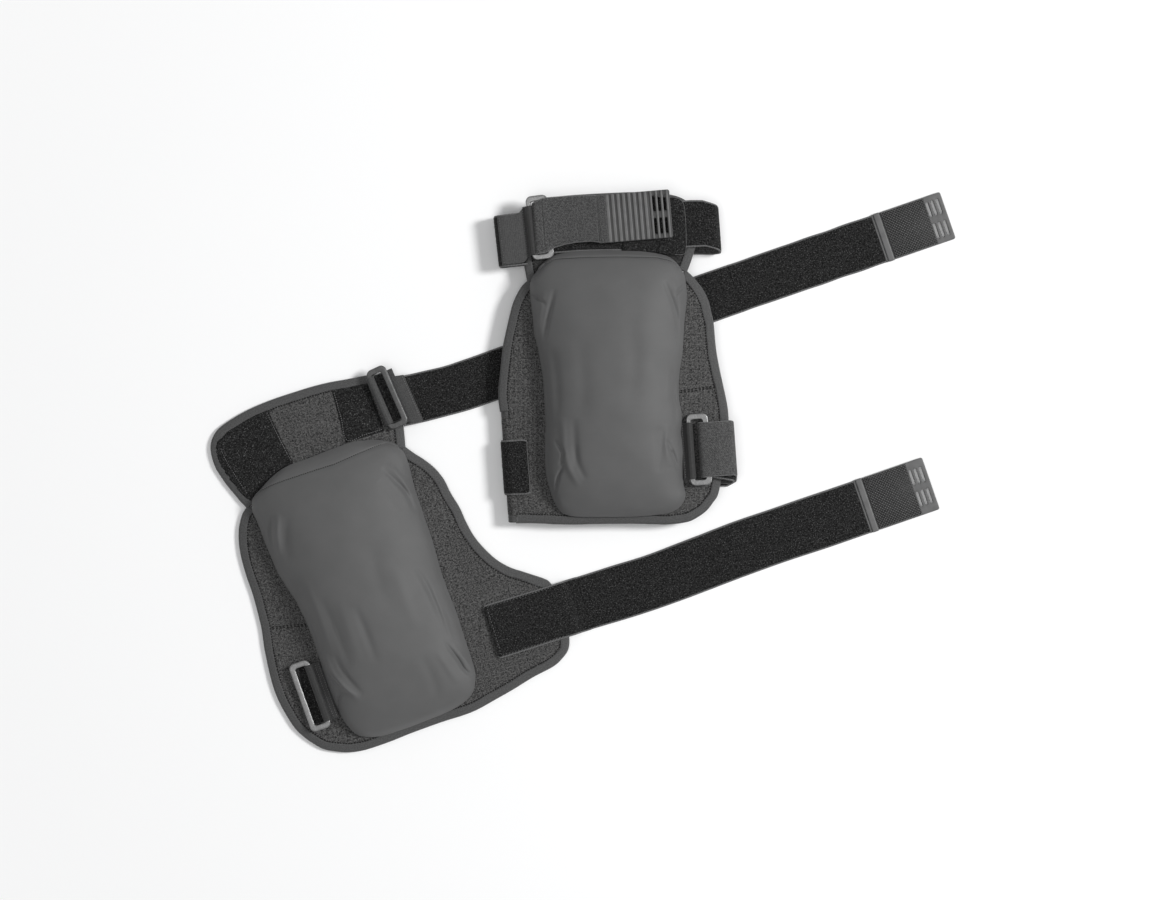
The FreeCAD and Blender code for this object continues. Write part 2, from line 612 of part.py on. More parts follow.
def closed_guard():
    shapes = {}
    base = arch_field(closed_edge_z, closed_arch, -6.0, 202.0, 0.0, 150.0, 160.0)
    surface = relief(base, (-130, -145, 125, 190))
    fold_zone = put(box(-40, wing_lip + layer_gap, -wing_length / 2 - 20, wing_length / 2 + layer_gap,
                        -5, 60), (*wing_at, 0), wing_heading)
    runs = [closed_body[:7], closed_body[10:]]
    liner, mesh, binding = bound_panel(surface, closed_body, runs, closed_pad)
    shapes["closed_body_liner"] = one_solid(liner.cut(fold_zone))
    shapes["closed_body_panel"] = one_solid(mesh.cut(fold_zone))
    shapes["closed_body_binding"] = Part.makeCompound(binding.cut(fold_zone).Solids)
    runs = [closed_cuff[:4], closed_cuff[3:]]
    liner, mesh, binding = bound_panel(surface, closed_cuff, runs, closed_pad)
    shapes["closed_cuff_liner"] = liner
    shapes["closed_cuff_panel"] = mesh
    shapes["closed_cuff_binding"] = binding
    shapes.update(padded_pieces("closed", base, surface, closed_pad, (-95, -130, 80, 135)))
    lip_z = closed_edge_z + panel_t / 2
    under_z = wing_z + panel_t / 2
    bend = (lip_z - under_z) / 2
    profile = ribbon([(wing_lip, lip_z), (-bend, lip_z), (-bend, under_z), (wing_under, under_z)],
                     [bend, bend], panel_t)
    wing = upright(profile, -wing_length / 2, wing_length / 2)
    shapes["closed_wing"] = put(wing, (*wing_at, 0), wing_heading)
    half = lower_strap_width / 2
    strap = upright(closed_lower_strap(), lower_strap_shift - half, lower_strap_shift + half)
    shapes["closed_lower_strap"] = put(strap, (*wing_at, 0), wing_heading)
    end = Part.Vertex(lower_tail_stop - half_gap, lower_strap_shift, 0)
    spot = put(end, (*wing_at, 0), wing_heading).Point
    strap_end("closed_lower", shapes, tuple(spot), wing_heading, lower_strap_width, 0.0, True)
    half = closed_strap_width / 2
    shapes["closed_upper_strap_root"] = put(upright(closed_upper_root(), -half, half), (0, 146, 0), 5.0)
    front = upright(closed_upper_front(), -half, half)
    shapes["closed_upper_strap"] = put(front, closed_upper_at, closed_upper_heading)
    bar_z = free_bar(closed_upper_ring_at, closed_upper_ring_tilt, closed_upper_at,
                     closed_upper_heading)[1]
    tail_z = bar_z + fold_radius
    tail = ribbon([(tail_start, tail_z), (tail_start + 8, tail_z + 0.1), (tail_stop, tail_z + tail_rise)],
                  [40.0], strap_t)
    shapes["closed_upper_strap_tail"] = put(upright(tail, -half, half), closed_upper_at,
                                            closed_upper_heading)
    spot = put(Part.Vertex(tail_stop + 0.5, 0, tail_z + tail_rise + strap_t / 2), closed_upper_at,
               closed_upper_heading).Point
    strap_end("closed_upper", shapes, tuple(spot), closed_upper_heading, closed_strap_width, -1.5, False,
              True)
    at = (closed_upper_ring_at, closed_upper_ring_heading, closed_upper_ring_tilt)
    shapes["closed_upper_ring"] = put(ring(upper_ring_length), *at)
    shapes["closed_upper_ring_keeper"] = put(keeper(upper_ring_length, -closed_tab, upper_keeper_width), *at)
    at = (closed_lower_ring_at, closed_lower_ring_heading, closed_lower_ring_tilt)
    shapes["closed_lower_ring"] = put(ring(lower_ring_length), *at)
    shapes["closed_lower_ring_keeper"] = put(keeper(lower_ring_length, -closed_tab, lower_keeper_width), *at)
    flap = [(u, closed_top_z + rise) for u, rise in zip(flap_u, flap_rise)]
    shapes["closed_cuff_hook_patch"] = upright(ribbon(flap, [], pile_t), *flap_v)
    inner_patch = layer(surface, panel_t + layer_gap, panel_t + layer_gap + pile_t,
                        polygon([(-44, 125), (-18, 126.5), (-18, 157), (-44, 156)]))
    shapes["closed_cuff_loop_patch"] = one_solid(inner_patch)
    return shapes


def place(shape, spot, turn):
    out = shape.copy()
    out.rotate(Vector(0, 0, 0), Vector(0, 0, 1), turn)
    out.translate(Vector(spot[0], spot[1], 0))
    return out


nodes = {}
for name, shape in open_guard().items():
    nodes[name] = place(shape, open_place, open_turn)
for name, shape in closed_guard().items():
    nodes[name] = place(shape, closed_place, 0.0)

whole = Part.makeCompound(list(nodes.values())).optimalBoundingBox(True, False)
os.makedirs("parts", exist_ok=True)
for name, shape in nodes.items():
    shape.translate(Vector(-whole.Center.x, -whole.Center.y, 0))
    shape.exportStep(os.path.join("parts", name + ".step"))
    print(name, len(shape.Solids), round(shape.Volume), shape.isValid())
print("footprint", whole.XLength, whole.YLength, whole.ZMin, whole.ZMax, whole.Center)
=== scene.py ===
import json
import math

import bmesh
import bpy
import numpy as np
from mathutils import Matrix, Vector, geometry
from mathutils.bvhtree import BVHTree


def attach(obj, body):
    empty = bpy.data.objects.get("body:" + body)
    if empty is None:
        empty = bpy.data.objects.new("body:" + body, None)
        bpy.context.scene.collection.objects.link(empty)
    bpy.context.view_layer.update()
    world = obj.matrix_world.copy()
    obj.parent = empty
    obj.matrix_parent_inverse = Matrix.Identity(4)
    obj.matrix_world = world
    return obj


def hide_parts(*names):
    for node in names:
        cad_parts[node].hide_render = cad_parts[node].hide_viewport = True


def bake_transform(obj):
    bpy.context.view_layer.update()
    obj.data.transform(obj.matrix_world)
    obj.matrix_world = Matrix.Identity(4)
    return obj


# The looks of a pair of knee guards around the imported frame. Each guard is modelled in its own frame, in
# millimetres: u across, v towards the thigh, z up. A Guard turns that into the row frame, in metres.

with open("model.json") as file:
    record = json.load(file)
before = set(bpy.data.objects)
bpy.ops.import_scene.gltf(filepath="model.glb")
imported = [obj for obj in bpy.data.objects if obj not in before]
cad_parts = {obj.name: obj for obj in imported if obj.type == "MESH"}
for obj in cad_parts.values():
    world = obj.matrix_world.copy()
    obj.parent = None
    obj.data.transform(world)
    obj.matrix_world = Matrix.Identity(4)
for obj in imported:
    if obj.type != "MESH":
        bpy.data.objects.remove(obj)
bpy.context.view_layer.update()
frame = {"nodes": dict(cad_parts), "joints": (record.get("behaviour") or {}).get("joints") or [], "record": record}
MM = 0.001
JOINTS = {joint["name"]: joint for joint in frame["joints"]}
BODY_OF = {node: body for body, nodes in frame["record"]["behaviour"]["bodies"].items() for node in nodes}

PANEL_T = 4.3          # liner and spacer mesh together
LINER_T = 1.2
LAYER_GAP = 0.05       # left between two layers that lie on each other
STRAP_T = 2.2
STRAP_RAMP = 9.0       # run over which a sewn strap comes down to the table
HOOK_BASE = 3.25       # height of the hook tape's base above the foot of the pull's ribs
UPPER_STRAP, LOWER_STRAP = 45.0, 50.0       # widths
OPEN_EDGE_Z = 0.8
CLOSED_EDGE_Z = 12.0
OPEN_UPPER_RING_AT = (54.5, 165.0)
OPEN_LOWER_RING_AT = (-70.7, -74.5)
UPPER_RING_LIFT = 6.1  # of the open guard's ring above its panel
LOWER_RING_LIFT = 7.8
CLOSED_STRAP_V = 148.0          # where the closed guard's upper strap crosses it
CLOSED_STRAP_TURN = 3.0
CLOSED_PEEL_U, CLOSED_PEEL_Z = -68.8, 25.74     # where that strap's tail starts to peel off


# ---- frames ----

def rotated(x, y, angle):
    c, s = math.cos(angle), math.sin(angle)
    return x * c - y * s, x * s + y * c


class Guard:
    """One guard's own frame: where it lies, how it is turned, and the height of its panel's underside."""

    def __init__(self, name, origin, turn, height):
        self.name = name
        self.origin = origin
        self.turn = turn
        self.height = height

    def world(self, points):
        p = np.asarray(points, float)
        x, y = rotated(p[:, 0], p[:, 1], self.turn)
        return np.stack([x * MM + self.origin[0], y * MM + self.origin[1], p[:, 2] * MM], 1)

    def base(self, uv):
        return self.height(uv[:, 0], uv[:, 1])


def arch(edge_z, rise, middle_u, span_u, middle_v, below_v, above_v):
    """Height of a panel's underside: flat at the rim, raised under the knee."""
    def height(u, v):
        away = np.abs(u - middle_u)
        across = np.where(away < span_u / 2, np.cos(np.pi * away / span_u) ** 2, 0.0)
        reach = np.where(v > middle_v, above_v, below_v)
        along = np.clip(1 - ((v - middle_v) / reach) ** 2, 0, 1) ** 1.5
        return edge_z + rise * across * along
    return height


def open_frame():
    """The open guard's frame, from the places of its two ring hinges."""
    own = Vector(OPEN_UPPER_RING_AT) - Vector(OPEN_LOWER_RING_AT)
    upper, lower = (Vector(JOINTS["open_%s_ring_flip" % end]["pos_m"][:2]) for end in ("upper", "lower"))
    row = upper - lower
    turn = math.atan2(row.y, row.x) - math.atan2(own.y, own.x)
    spot = rotated(*OPEN_UPPER_RING_AT, turn)
    origin = (upper.x - spot[0] * MM, upper.y - spot[1] * MM)
    return Guard("open", origin, turn, arch(edge_z=OPEN_EDGE_Z, rise=16.0, middle_u=-8.0, span_u=195.0,
                                            middle_v=25.0, below_v=165.0, above_v=165.0))


def closed_frame():
    """The closed guard's frame, from the hinge where its upper strap peels off."""
    peel = Vector(JOINTS["closed_upper_strap_peel"]["pos_m"][:2])
    u, v = rotated(CLOSED_PEEL_U, 0.0, math.radians(CLOSED_STRAP_TURN))
    origin = (peel.x - u * MM, peel.y - (v + CLOSED_STRAP_V) * MM)
    return Guard("closed", origin, 0.0, arch(edge_z=CLOSED_EDGE_Z, rise=15.0, middle_u=-6.0, span_u=202.0,
                                             middle_v=0.0, below_v=150.0, above_v=160.0))


OPEN = open_frame()
CLOSED = closed_frame()


# ---- curves ----

def catmull(points, closed, steps=16):
    p = np.asarray(points, float)
    n = len(p)
    if closed:
        before, first, second, after = np.roll(p, 1, 0), p, np.roll(p, -1, 0), np.roll(p, -2, 0)
    else:
        padded = np.vstack([2 * p[0] - p[1], p, 2 * p[-1] - p[-2]])
        before, first, second, after = padded[:n - 1], padded[1:n], padded[2:n + 1], padded[3:n + 2]
    t = (np.arange(steps) / steps)[None, :, None]
    a, b, c, d = (x[:, None, :] for x in (before, first, second, after))
    bend = (2 * a - 5 * b + 4 * c - d) * t ** 2 + (3 * b - a - 3 * c + d) * t ** 3
    out = (0.5 * (2 * b + (c - a) * t + bend)).reshape(-1, p.shape[1])
    return out if closed else np.vstack([out, p[-1:]])


def run_lengths(line):
    """How far along a polyline each of its points is."""
    return np.r_[0, np.cumsum(np.linalg.norm(np.diff(line, axis=0), axis=1))]


def points_at(line, at):
    """The points of a polyline at some lengths along it."""
    lengths = run_lengths(line)
    return np.stack([np.interp(at, lengths, line[:, k]) for k in range(line.shape[1])], 1)


def even(line, count):
    return points_at(line, np.linspace(0, run_lengths(line)[-1], count))


def resample(line, step, closed=False):
    """Evenly spaced points along a polyline, about step apart."""
    full = np.vstack([line, line[:1]]) if closed else line
    count = max(2, int(round(run_lengths(full)[-1] / step)))
    spaced = even(full, count + 1)
    return spaced[:-1] if closed else spaced


def smooth(points, step, closed=False):
    return resample(catmull(points, closed), step, closed)


def unit(vectors):
    return vectors / np.maximum(np.linalg.norm(vectors, axis=1, keepdims=True), 1e-9)


def tangents(line, closed=False):
    return unit(np.roll(line, -1, 0) - np.roll(line, 1, 0) if closed else np.gradient(line, axis=0))


def left_of(direction):
    return np.stack([-direction[:, 1], direction[:, 0]], 1)


def offset(line, distance, closed=False):
    """The line moved to its left."""
    return line + left_of(tangents(line, closed)) * distance


def corner_directions(before, corner, after):
    return unit(np.array([corner - before, after - corner]))


def route(points, radii, step=1.2):
    """Straight runs joined by arcs, as evenly spaced points."""
    p = [np.array(q, float) for q in points]
    line = [p[0]]
    for before, corner, after, radius in zip(p, p[1:], p[2:], radii):
        d0, d1 = corner_directions(before, corner, after)
        turn = math.atan2(d0[0] * d1[1] - d0[1] * d1[0], float(d0 @ d1))
        enter = corner - d0 * radius * math.tan(abs(turn) / 2)
        hand = 1 if turn > 0 else -1
        centre = enter + np.array([-d0[1], d0[0]]) * radius * hand
        line += [centre + np.array(rotated(*(enter - centre), turn * k / 12)) for k in range(13)]
    line.append(p[-1])
    return resample(np.array(line), step)


def round_corners(points, radius, step):
    """A closed polygon whose corners are rounded."""
    p = [np.array(q, float) for q in points]
    line = []
    for before, corner, after in zip(p[-1:] + p[:-1], p, p[1:] + p[:1]):
        d0, d1 = corner_directions(before, corner, after)
        a, b = corner - d0 * radius, corner + d1 * radius
        line += [(1 - t) ** 2 * a + 2 * t * (1 - t) * corner + t * t * b for t in np.linspace(0, 1, 7)]
    return resample(np.array(line), step, closed=True)


def segment_distance(points, line, closed=True):
    """Distance of each point from a polyline, and how far along the line the nearest spot is (0 to 1)."""
    start = line if closed else line[:-1]
    stop = np.roll(line, -1, 0) if closed else line[1:]
    step = stop - start
    best = np.full(len(points), 1e9)
    where = np.zeros(len(points))
    for k in range(len(start)):
        rel = points - start[k]
        t = np.clip(rel @ step[k] / max(step[k] @ step[k], 1e-12), 0, 1)
        d = np.linalg.norm(rel - t[:, None] * step[k], axis=1)
        closer = d < best
        best[closer] = d[closer]
        where[closer] = (k + t[closer]) / len(start)
    return best, where


def inside(points, outline):
    x, y = points.T
    x0, y0 = outline.T
    result = np.zeros(len(points), bool)
    for a, b, c, d in zip(x0, y0, np.roll(x0, -1), np.roll(y0, -1)):
        if d != b:
            result ^= ((b > y) != (d > y)) & (x < (c - a) * (y - b) / (d - b) + a)
    return result


def waves(points, size, seed, count=7):
    """A smooth wandering value, about -1 to 1, that changes over the size."""
    draw = np.random.default_rng(seed)
    total = np.zeros(len(points))
    for _ in range(count):
        direction = draw.normal(size=points.shape[1])
        direction /= np.linalg.norm(direction)
        length = size * draw.uniform(0.7, 1.9)
        total += np.sin(2 * np.pi * points @ direction / length + draw.uniform(0, 2 * np.pi))
    return total / math.sqrt(count)


def step_up(x):
    t = np.clip(x, 0, 1)
    return t * t * (3 - 2 * t)


def bulge(x):
    """Rises from 0 to 1 as a quarter circle does."""
    return np.sqrt(np.clip(1 - (1 - np.clip(x, 0, 1)) ** 2, 0, 1))


# ---- meshes ----

def piece(name, guard, points, faces, materials, nodes, flat=None, which=None, body=None, loose=False):
    """An object from points in the guard's frame. flat is where each point lies on the uncut cloth, in mm."""
    points = np.asarray(points, float)
    mesh = bpy.data.meshes.new(name)
    mesh.from_pydata(guard.world(points).tolist(), [], [tuple(int(i) for i in f) for f in faces])
    mesh.update()
    materials = materials if isinstance(materials, (list, tuple)) else [materials]
    for material in materials:
        mesh.materials.append(material)
    if which is not None:
        mesh.polygons.foreach_set("material_index", np.asarray(which, np.int32))
    mesh.polygons.foreach_set("use_smooth", np.array([len(f) <= 6 for f in faces], bool))
    attribute = mesh.attributes.new("flat", "FLOAT_VECTOR", "POINT")
    place = points if flat is None else np.asarray(flat, float)
    attribute.data.foreach_set("vector", (place * MM).astype(np.float32).ravel())
    made = bpy.data.objects.new(name, mesh)
    bpy.context.scene.collection.objects.link(made)
    if nodes:
        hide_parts(*nodes)
    if not loose:
        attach(made, body or BODY_OF[nodes[0]])
    return made


def moved(faces, by):
    """The same faces over points that come later in the list."""
    return [[i + by for i in face] for face in faces]


def joined(parts):
    """One list of points and one of faces from several (points, faces)."""
    faces, count = [], 0
    for points, own in parts:
        faces += moved(own, count)
        count += len(points)
    return np.vstack([points for points, own in parts]), faces


def fill(outline, step):
    """Triangles over the inside of an outline, on a lattice that ends at its rim."""
    low, high = outline.min(0), outline.max(0)
    lattice = []
    for k, v in enumerate(np.arange(low[1], high[1], step * 0.866)):
        us = np.arange(low[0] + (k % 2) * step / 2, high[0], step)
        lattice.append(np.stack([us, np.full(len(us), v)], 1))
    lattice = np.vstack(lattice)
    lattice = lattice[inside(lattice, outline)]
    lattice = lattice[segment_distance(lattice, outline)[0] > step * 0.6]
    return triangulated([outline], [lattice])


def triangulated(loops, lattices=()):
    """Triangles over what closed loops bound, through the points of any lattices as well."""
    cuts, start = [], 0
    for loop in loops:
        n = len(loop)
        cuts += [(start + i, start + (i + 1) % n) for i in range(n)]
        start += n
    spots = np.vstack([*loops, *lattices])
    result = geometry.delaunay_2d_cdt([Vector(p) for p in spots.tolist()], cuts, [], 1, 1e-5)
    return np.array([list(v) for v in result[0]]), [list(f) for f in result[2]]


def rim_edges(faces):
    """The edges that only one face uses, each in that face's direction."""
    seen = {}
    for face in faces:
        for a, b in zip(face, face[1:] + face[:1]):
            if (b, a) in seen:
                del seen[(b, a)]
            else:
                seen[(a, b)] = True
    return list(seen)


def closed_slab(top, bottom, faces):
    """A closed form from the same faces at two heights, joined round the rim."""
    count = len(top)
    faces = [list(f) for f in faces]
    under = [[i + count for i in reversed(f)] for f in faces]
    walls = [[b, a, a + count, b + count] for a, b in rim_edges(faces)]
    return np.vstack([top, bottom]), faces + under + walls


def sheet_slab(uv, top, bottom, faces):
    return closed_slab(np.column_stack([uv, top]), np.column_stack([uv, bottom]), faces)


def grid_faces(rows, columns, wrap=False):
    """Quads over points that run row by row."""
    faces = []
    for i in range(rows - 1):
        for j in range(columns if wrap else columns - 1):
            k = (j + 1) % columns
            faces.append([i * columns + j, i * columns + k, (i + 1) * columns + k, (i + 1) * columns + j])
    return faces


def normals_of(points, faces):
    total = np.zeros_like(points)
    for face in faces:
        a, b, c = points[face[:3]]
        total[face] += np.cross(b - a, c - a)
    return unit(total)


def tube_of(rows, flat):
    """A closed form from rows that run along it, with its two ends capped."""
    points, place = (np.stack(x, 1).reshape(-1, 3) for x in (rows, flat))
    across, along = len(rows), len(rows[0])
    faces = grid_faces(along, across, wrap=True)
    faces.append(list(reversed(range(across))))
    faces.append([(along - 1) * across + j for j in range(across)])
    return points, faces, place


def sweep(centre, side, section, shift=None):
    """A section of (across, out) points carried along a line, with where each lies on the flat cloth. shift
    says where a section's point goes at each length along the line."""
    out = np.cross(tangents(centre), side)
    lengths = run_lengths(centre)
    rows, flat = [], []
    for k, (x, y) in enumerate(section):
        across, height = shift(k, x, y, lengths) if shift else (x, y)
        rows.append(centre + side * np.reshape(across, (-1, 1)) + out * np.reshape(height, (-1, 1)))
        flat.append(np.column_stack([lengths, np.full(len(lengths), x), np.full(len(lengths), y)]))
    return tube_of(rows, flat)


class Frame:
    """A frame inside a guard's frame: an origin, a heading, and for a ring a tilt and a flip."""

    def __init__(self, spot, heading=0.0, tilt=0.0, flip=False):
        self.spot = np.array(spot, float)
        self.heading = math.radians(heading)
        self.tilt = math.radians(-tilt if flip else tilt)
        self.flip = flip

    def turn(self, vectors):
        p = np.array(vectors, float)
        if self.flip:
            p = p * np.array([-1.0, -1.0, 1.0])
        x, z = rotated(p[:, 0], p[:, 2], self.tilt)
        x, y = rotated(x, p[:, 1], self.heading)
        return np.stack([x, y, z], 1)

    def put(self, points):
        return self.turn(points) + self.spot


# ---- materials ----

def shader_node(tree, kind, inputs=(), **settings):
    """A node with its settings and its inputs, each input a value or another node's socket."""
    node = tree.nodes.new("ShaderNode" + kind)
    for name, value in settings.items():
        setattr(node, name, value)
    for key, value in dict(inputs).items():
        if isinstance(value, bpy.types.NodeSocket):
            tree.links.new(value, node.inputs[key])
        else:
            node.inputs[key].default_value = value
    return node


def smooth_range(tree, value, low, high):
    """0 below low, 1 above high, smooth between."""
    return shader_node(tree, "MapRange", interpolation_type="SMOOTHSTEP",
                       inputs={"Value": value, "From Min": low, "From Max": high}).outputs["Result"]


class Shade:
    """A principled material whose patterns are read from the flat cloth's own coordinates."""

    def __init__(self, name, slot, roughness, sheen=0.0, metallic=0.0, specular=0.5, in_object=False):
        self.material = bpy.data.materials.new(name)
        self.material["slot"] = slot
        self.material.use_nodes = True
        self.tree = self.material.node_tree
        self.tree.nodes.clear()
        looks = {"Roughness": roughness, "Metallic": metallic, "Specular IOR Level": specular}
        if sheen:
            looks.update({"Sheen Weight": sheen, "Sheen Roughness": 0.5})
        self.surface = self.node("BsdfPrincipled", looks)
        self.node("OutputMaterial", {"Surface": self.surface.outputs["BSDF"]})
        if in_object:
            self.place = self.node("TexCoord").outputs["Object"]
        else:
            self.place = self.node("Attribute", attribute_name="flat").outputs["Vector"]

    def node(self, kind, inputs=(), **settings):
        return shader_node(self.tree, kind, inputs, **settings)

    def math(self, operation, *values):
        return self.node("Math", enumerate(values), operation=operation).outputs[0]

    def times(self, a, b):
        return self.math("MULTIPLY", a, b)

    def plus(self, a, b):
        return self.math("ADD", a, b)

    def axes(self, turn=0.0):
        """The flat coordinates in mm, turned in the cloth's plane."""
        mapping = self.node("Mapping", {"Vector": self.place, "Scale": (1000.0, 1000.0, 1000.0),
                                        "Rotation": (0.0, 0.0, math.radians(turn))})
        return self.node("SeparateXYZ", {0: mapping.outputs["Vector"]}).outputs

    def noise(self, size, detail=2.0, stretch=(1.0, 1.0, 1.0), roughness=0.5):
        """Noise whose blobs are about the size, in mm."""
        mapping = self.node("Mapping", {"Vector": self.place, "Scale": [s * 1000.0 / size for s in stretch]})
        return self.node("TexNoise", {"Vector": mapping.outputs["Vector"], "Scale": 1.0, "Detail": detail,
                                      "Roughness": roughness}).outputs["Fac"]

    def ripple(self, coordinate, pitch):
        """0 to 1 and back once for each pitch."""
        turn = self.times(coordinate, 2 * math.pi / pitch)
        return self.math("MULTIPLY_ADD", self.math("SINE", turn), 0.5, 0.5)

    def spread(self, value, low, high):
        return smooth_range(self.tree, value, low, high)

    def mix(self, factor, a, b):
        return self.node("Mix", {"Factor": factor, "A": a, "B": b}, data_type="RGBA").outputs["Result"]

    def speckle(self, noise, dark, light, span=(0.3, 0.7)):
        """A tone between two greys, by where the noise lies in the span."""
        return self.mix(self.spread(noise, *span), grey(dark), grey(light))

    def colour(self, value):
        self.tree.links.new(value, self.surface.inputs["Base Color"])

    def relief(self, height, distance, strength=1.0):
        bump = self.node("Bump", {"Height": height, "Distance": distance * MM, "Strength": strength})
        self.tree.links.new(bump.outputs["Normal"], self.surface.inputs["Normal"])


def grey(value, warm=0.0):
    return (value * (1 + warm), value, value * (1 - warm), 1.0)


def spacer_mesh(name, light):
    s = Shade(name, "spacer_mesh", 0.85, sheen=0.08, specular=0.15)
    x, y, _ = s.axes()
    diagonal = s.math("SUBTRACT", s.ripple(x, 4.4), s.ripple(s.plus(y, s.noise(3.0)), 3.4))
    pits = s.spread(diagonal, 0.1, 0.8)
    yarn = s.noise(1.25, 3.0, roughness=0.75)
    heather = s.noise(3.2, 1.0)
    tone = s.mix(s.spread(yarn, 0.38, 0.62), grey(0.01), grey(light, 0.01))
    tone = s.mix(s.spread(heather, 0.4, 0.66), tone, s.mix(0.4, tone, grey(light * 0.7, 0.01)))
    s.colour(s.mix(s.times(pits, 0.26), tone, grey(0.012)))
    s.relief(s.math("SUBTRACT", s.times(yarn, 0.8), s.times(pits, 0.7)), 0.5, 0.8)
    return s.material


def woven(s, speck, span, tones, threads, depth, strength=0.7, share=0.0, dark=0.0):
    """Cloth of specks between two greys, with a relief of threads that may show in a third, dark grey."""
    tone = s.speckle(speck, *tones, span)
    s.colour(s.mix(s.times(threads, share), tone, grey(dark)) if share else tone)
    s.relief(s.plus(threads, speck), depth, strength)
    return s.material


def liner_knit():
    s = Shade("liner_knit_cloth", "liner_knit", 0.9, sheen=0.2, specular=0.2)
    x, y, _ = s.axes()
    rows = s.times(s.ripple(x, 1.1), s.ripple(y, 0.8))
    return woven(s, s.noise(0.7), (0.3, 0.7), (0.07, 0.15), rows, 0.15)


def edge_tape():
    s = Shade("edge_tape_cloth", "edge_tape", 0.8, sheen=0.12, specular=0.3)
    x, y, _ = s.axes()
    rows = s.ripple(s.plus(x, s.times(y, 0.6)), 1.0)
    return woven(s, s.noise(1.2), (0.3, 0.7), (0.05, 0.084), rows, 0.1, 0.6, share=0.18, dark=0.035)


def webbing(name, light):
    s = Shade(name, "webbing", 0.72, sheen=0.1, specular=0.35)
    x, y, _ = s.axes()
    weave = s.times(s.ripple(x, 1.7), s.ripple(y, 1.1))
    return woven(s, s.noise(0.9), (0.3, 0.72), (light * 0.5, light), weave, 0.25, share=0.4,
                 dark=light * 0.25)


def strap_knit():
    s = Shade("strap_knit_cloth", "strap_elastic", 0.82, sheen=0.1, specular=0.25)
    twill = s.ripple(s.axes(35.0)[0], 1.5)
    speck = s.noise(1.3, 3.0, roughness=0.75)
    return woven(s, speck, (0.38, 0.62), (0.026, 0.102), twill, 0.18, share=0.35, dark=0.025)


def stretch_cover():
    s = Shade("stretch_cover_cloth", "stretch_cover", 0.62, sheen=0.1, specular=0.32)
    ribs = s.ripple(s.plus(s.axes()[1], s.times(s.noise(30.0), 0.8)), 1.05)
    fine = s.noise(0.6, stretch=(0.4, 1.0, 1.0))
    tone = s.speckle(s.noise(24.0), 0.081, 0.091, (0.2, 0.8))
    tone = s.mix(s.times(fine, 0.22), tone, grey(0.085, -0.01))
    s.colour(s.mix(s.times(ribs, 0.14), tone, grey(0.08)))
    s.relief(s.plus(ribs, s.times(fine, 0.6)), 0.06, 0.6)
    return s.material


def pile(name, slot, light):
    s = Shade(name, slot, 0.92, sheen=0.04, specular=0.1)
    loops = s.noise(1.35, 3.0, roughness=0.8)
    sparks = s.noise(1.0, 1.0)
    tone = s.speckle(loops, 0.003, light, (0.42, 0.62))
    s.colour(s.mix(s.spread(sparks, 0.58, 0.76), tone, grey(light * 3.6)))
    s.relief(s.plus(loops, s.times(sparks, 0.6)), 0.6, 0.9)
    return s.material


def selvedge():
    s = Shade("strap_edge_cloth", "strap_elastic", 0.75, sheen=0.1, specular=0.3)
    picks = s.ripple(s.axes()[0], 1.4)
    s.colour(s.mix(picks, grey(0.06), grey(0.16)))
    s.relief(picks, 0.2, 0.7)
    return s.material


def thread(name, slot, tone):
    s = Shade(name, slot, 0.7, specular=0.2)
    s.colour(s.speckle(s.noise(0.4), tone * 0.7, tone * 1.3))
    s.relief(s.noise(0.25), 0.05, 0.6)
    return s.material


def ring_metal(name, light):
    s = Shade(name, "ring_metal", 0.4, metallic=0.75, specular=0.4)
    brushed = s.noise(0.35, 3.0, (1.0, 0.12, 1.0))
    tone = s.speckle(brushed, light * 0.65, light)
    s.colour(s.mix(s.times(s.spread(s.noise(7.0, 3.0), 0.45, 0.75), 0.5), tone, grey(light * 0.5)))
    s.tree.links.new(s.math("MULTIPLY_ADD", brushed, 0.2, 0.26), s.surface.inputs["Roughness"])
    s.relief(brushed, 0.03, 0.5)
    return s.material


def moulded():
    """Grained grey, with painted shade in the grooves between the ribs, where the colour goes dark at their
    height.
    """
    s = Shade("moulded_grip_plastic", "moulded", 0.5, specular=0.45)
    grain = s.noise(0.5, 3.0)
    z = s.axes()[2]
    # painted shade: the colour goes nearly black at the height of the grooves between the ribs, where shade falls
    groove = s.times(s.spread(z, 0.2, 0.85), s.math("SUBTRACT", 1.0, s.spread(z, 1.2, 1.5)))
    tone = s.speckle(s.noise(9.0), 0.078, 0.1)
    tone = s.mix(s.times(s.spread(grain, 0.4, 0.75), 0.2), tone, grey(0.07))
    s.colour(s.mix(s.times(groove, 0.9), tone, grey(0.012)))
    s.relief(grain, 0.05, 0.6)
    return s.material


def hook_plastic():
    """Painted shade between the hooks and painted light on them: the colour goes from nearly black at the tape's
    base to lighter up the hooks, by height.
    """
    s = Shade("hook_tape_plastic", "hook_tape", 0.62, specular=0.25)
    grain = s.noise(1.4)
    light = s.speckle(grain, 0.13, 0.22)
    # painted shade at the base between the hooks, painted light on the hooks themselves
    s.colour(s.mix(s.spread(s.axes()[2], HOOK_BASE + 0.05, HOOK_BASE + 0.6), grey(0.008), light))
    s.relief(grain, 0.08, 0.6)
    return s.material


def inner_plastic(name, slot, tone, size):
    s = Shade(name, slot, 0.7, specular=0.4, in_object=True)
    grain = s.noise(size, 3.0)
    s.colour(s.speckle(grain, tone * 0.8, tone * 1.2))
    s.relief(grain, 0.2, 0.6)
    return s.material


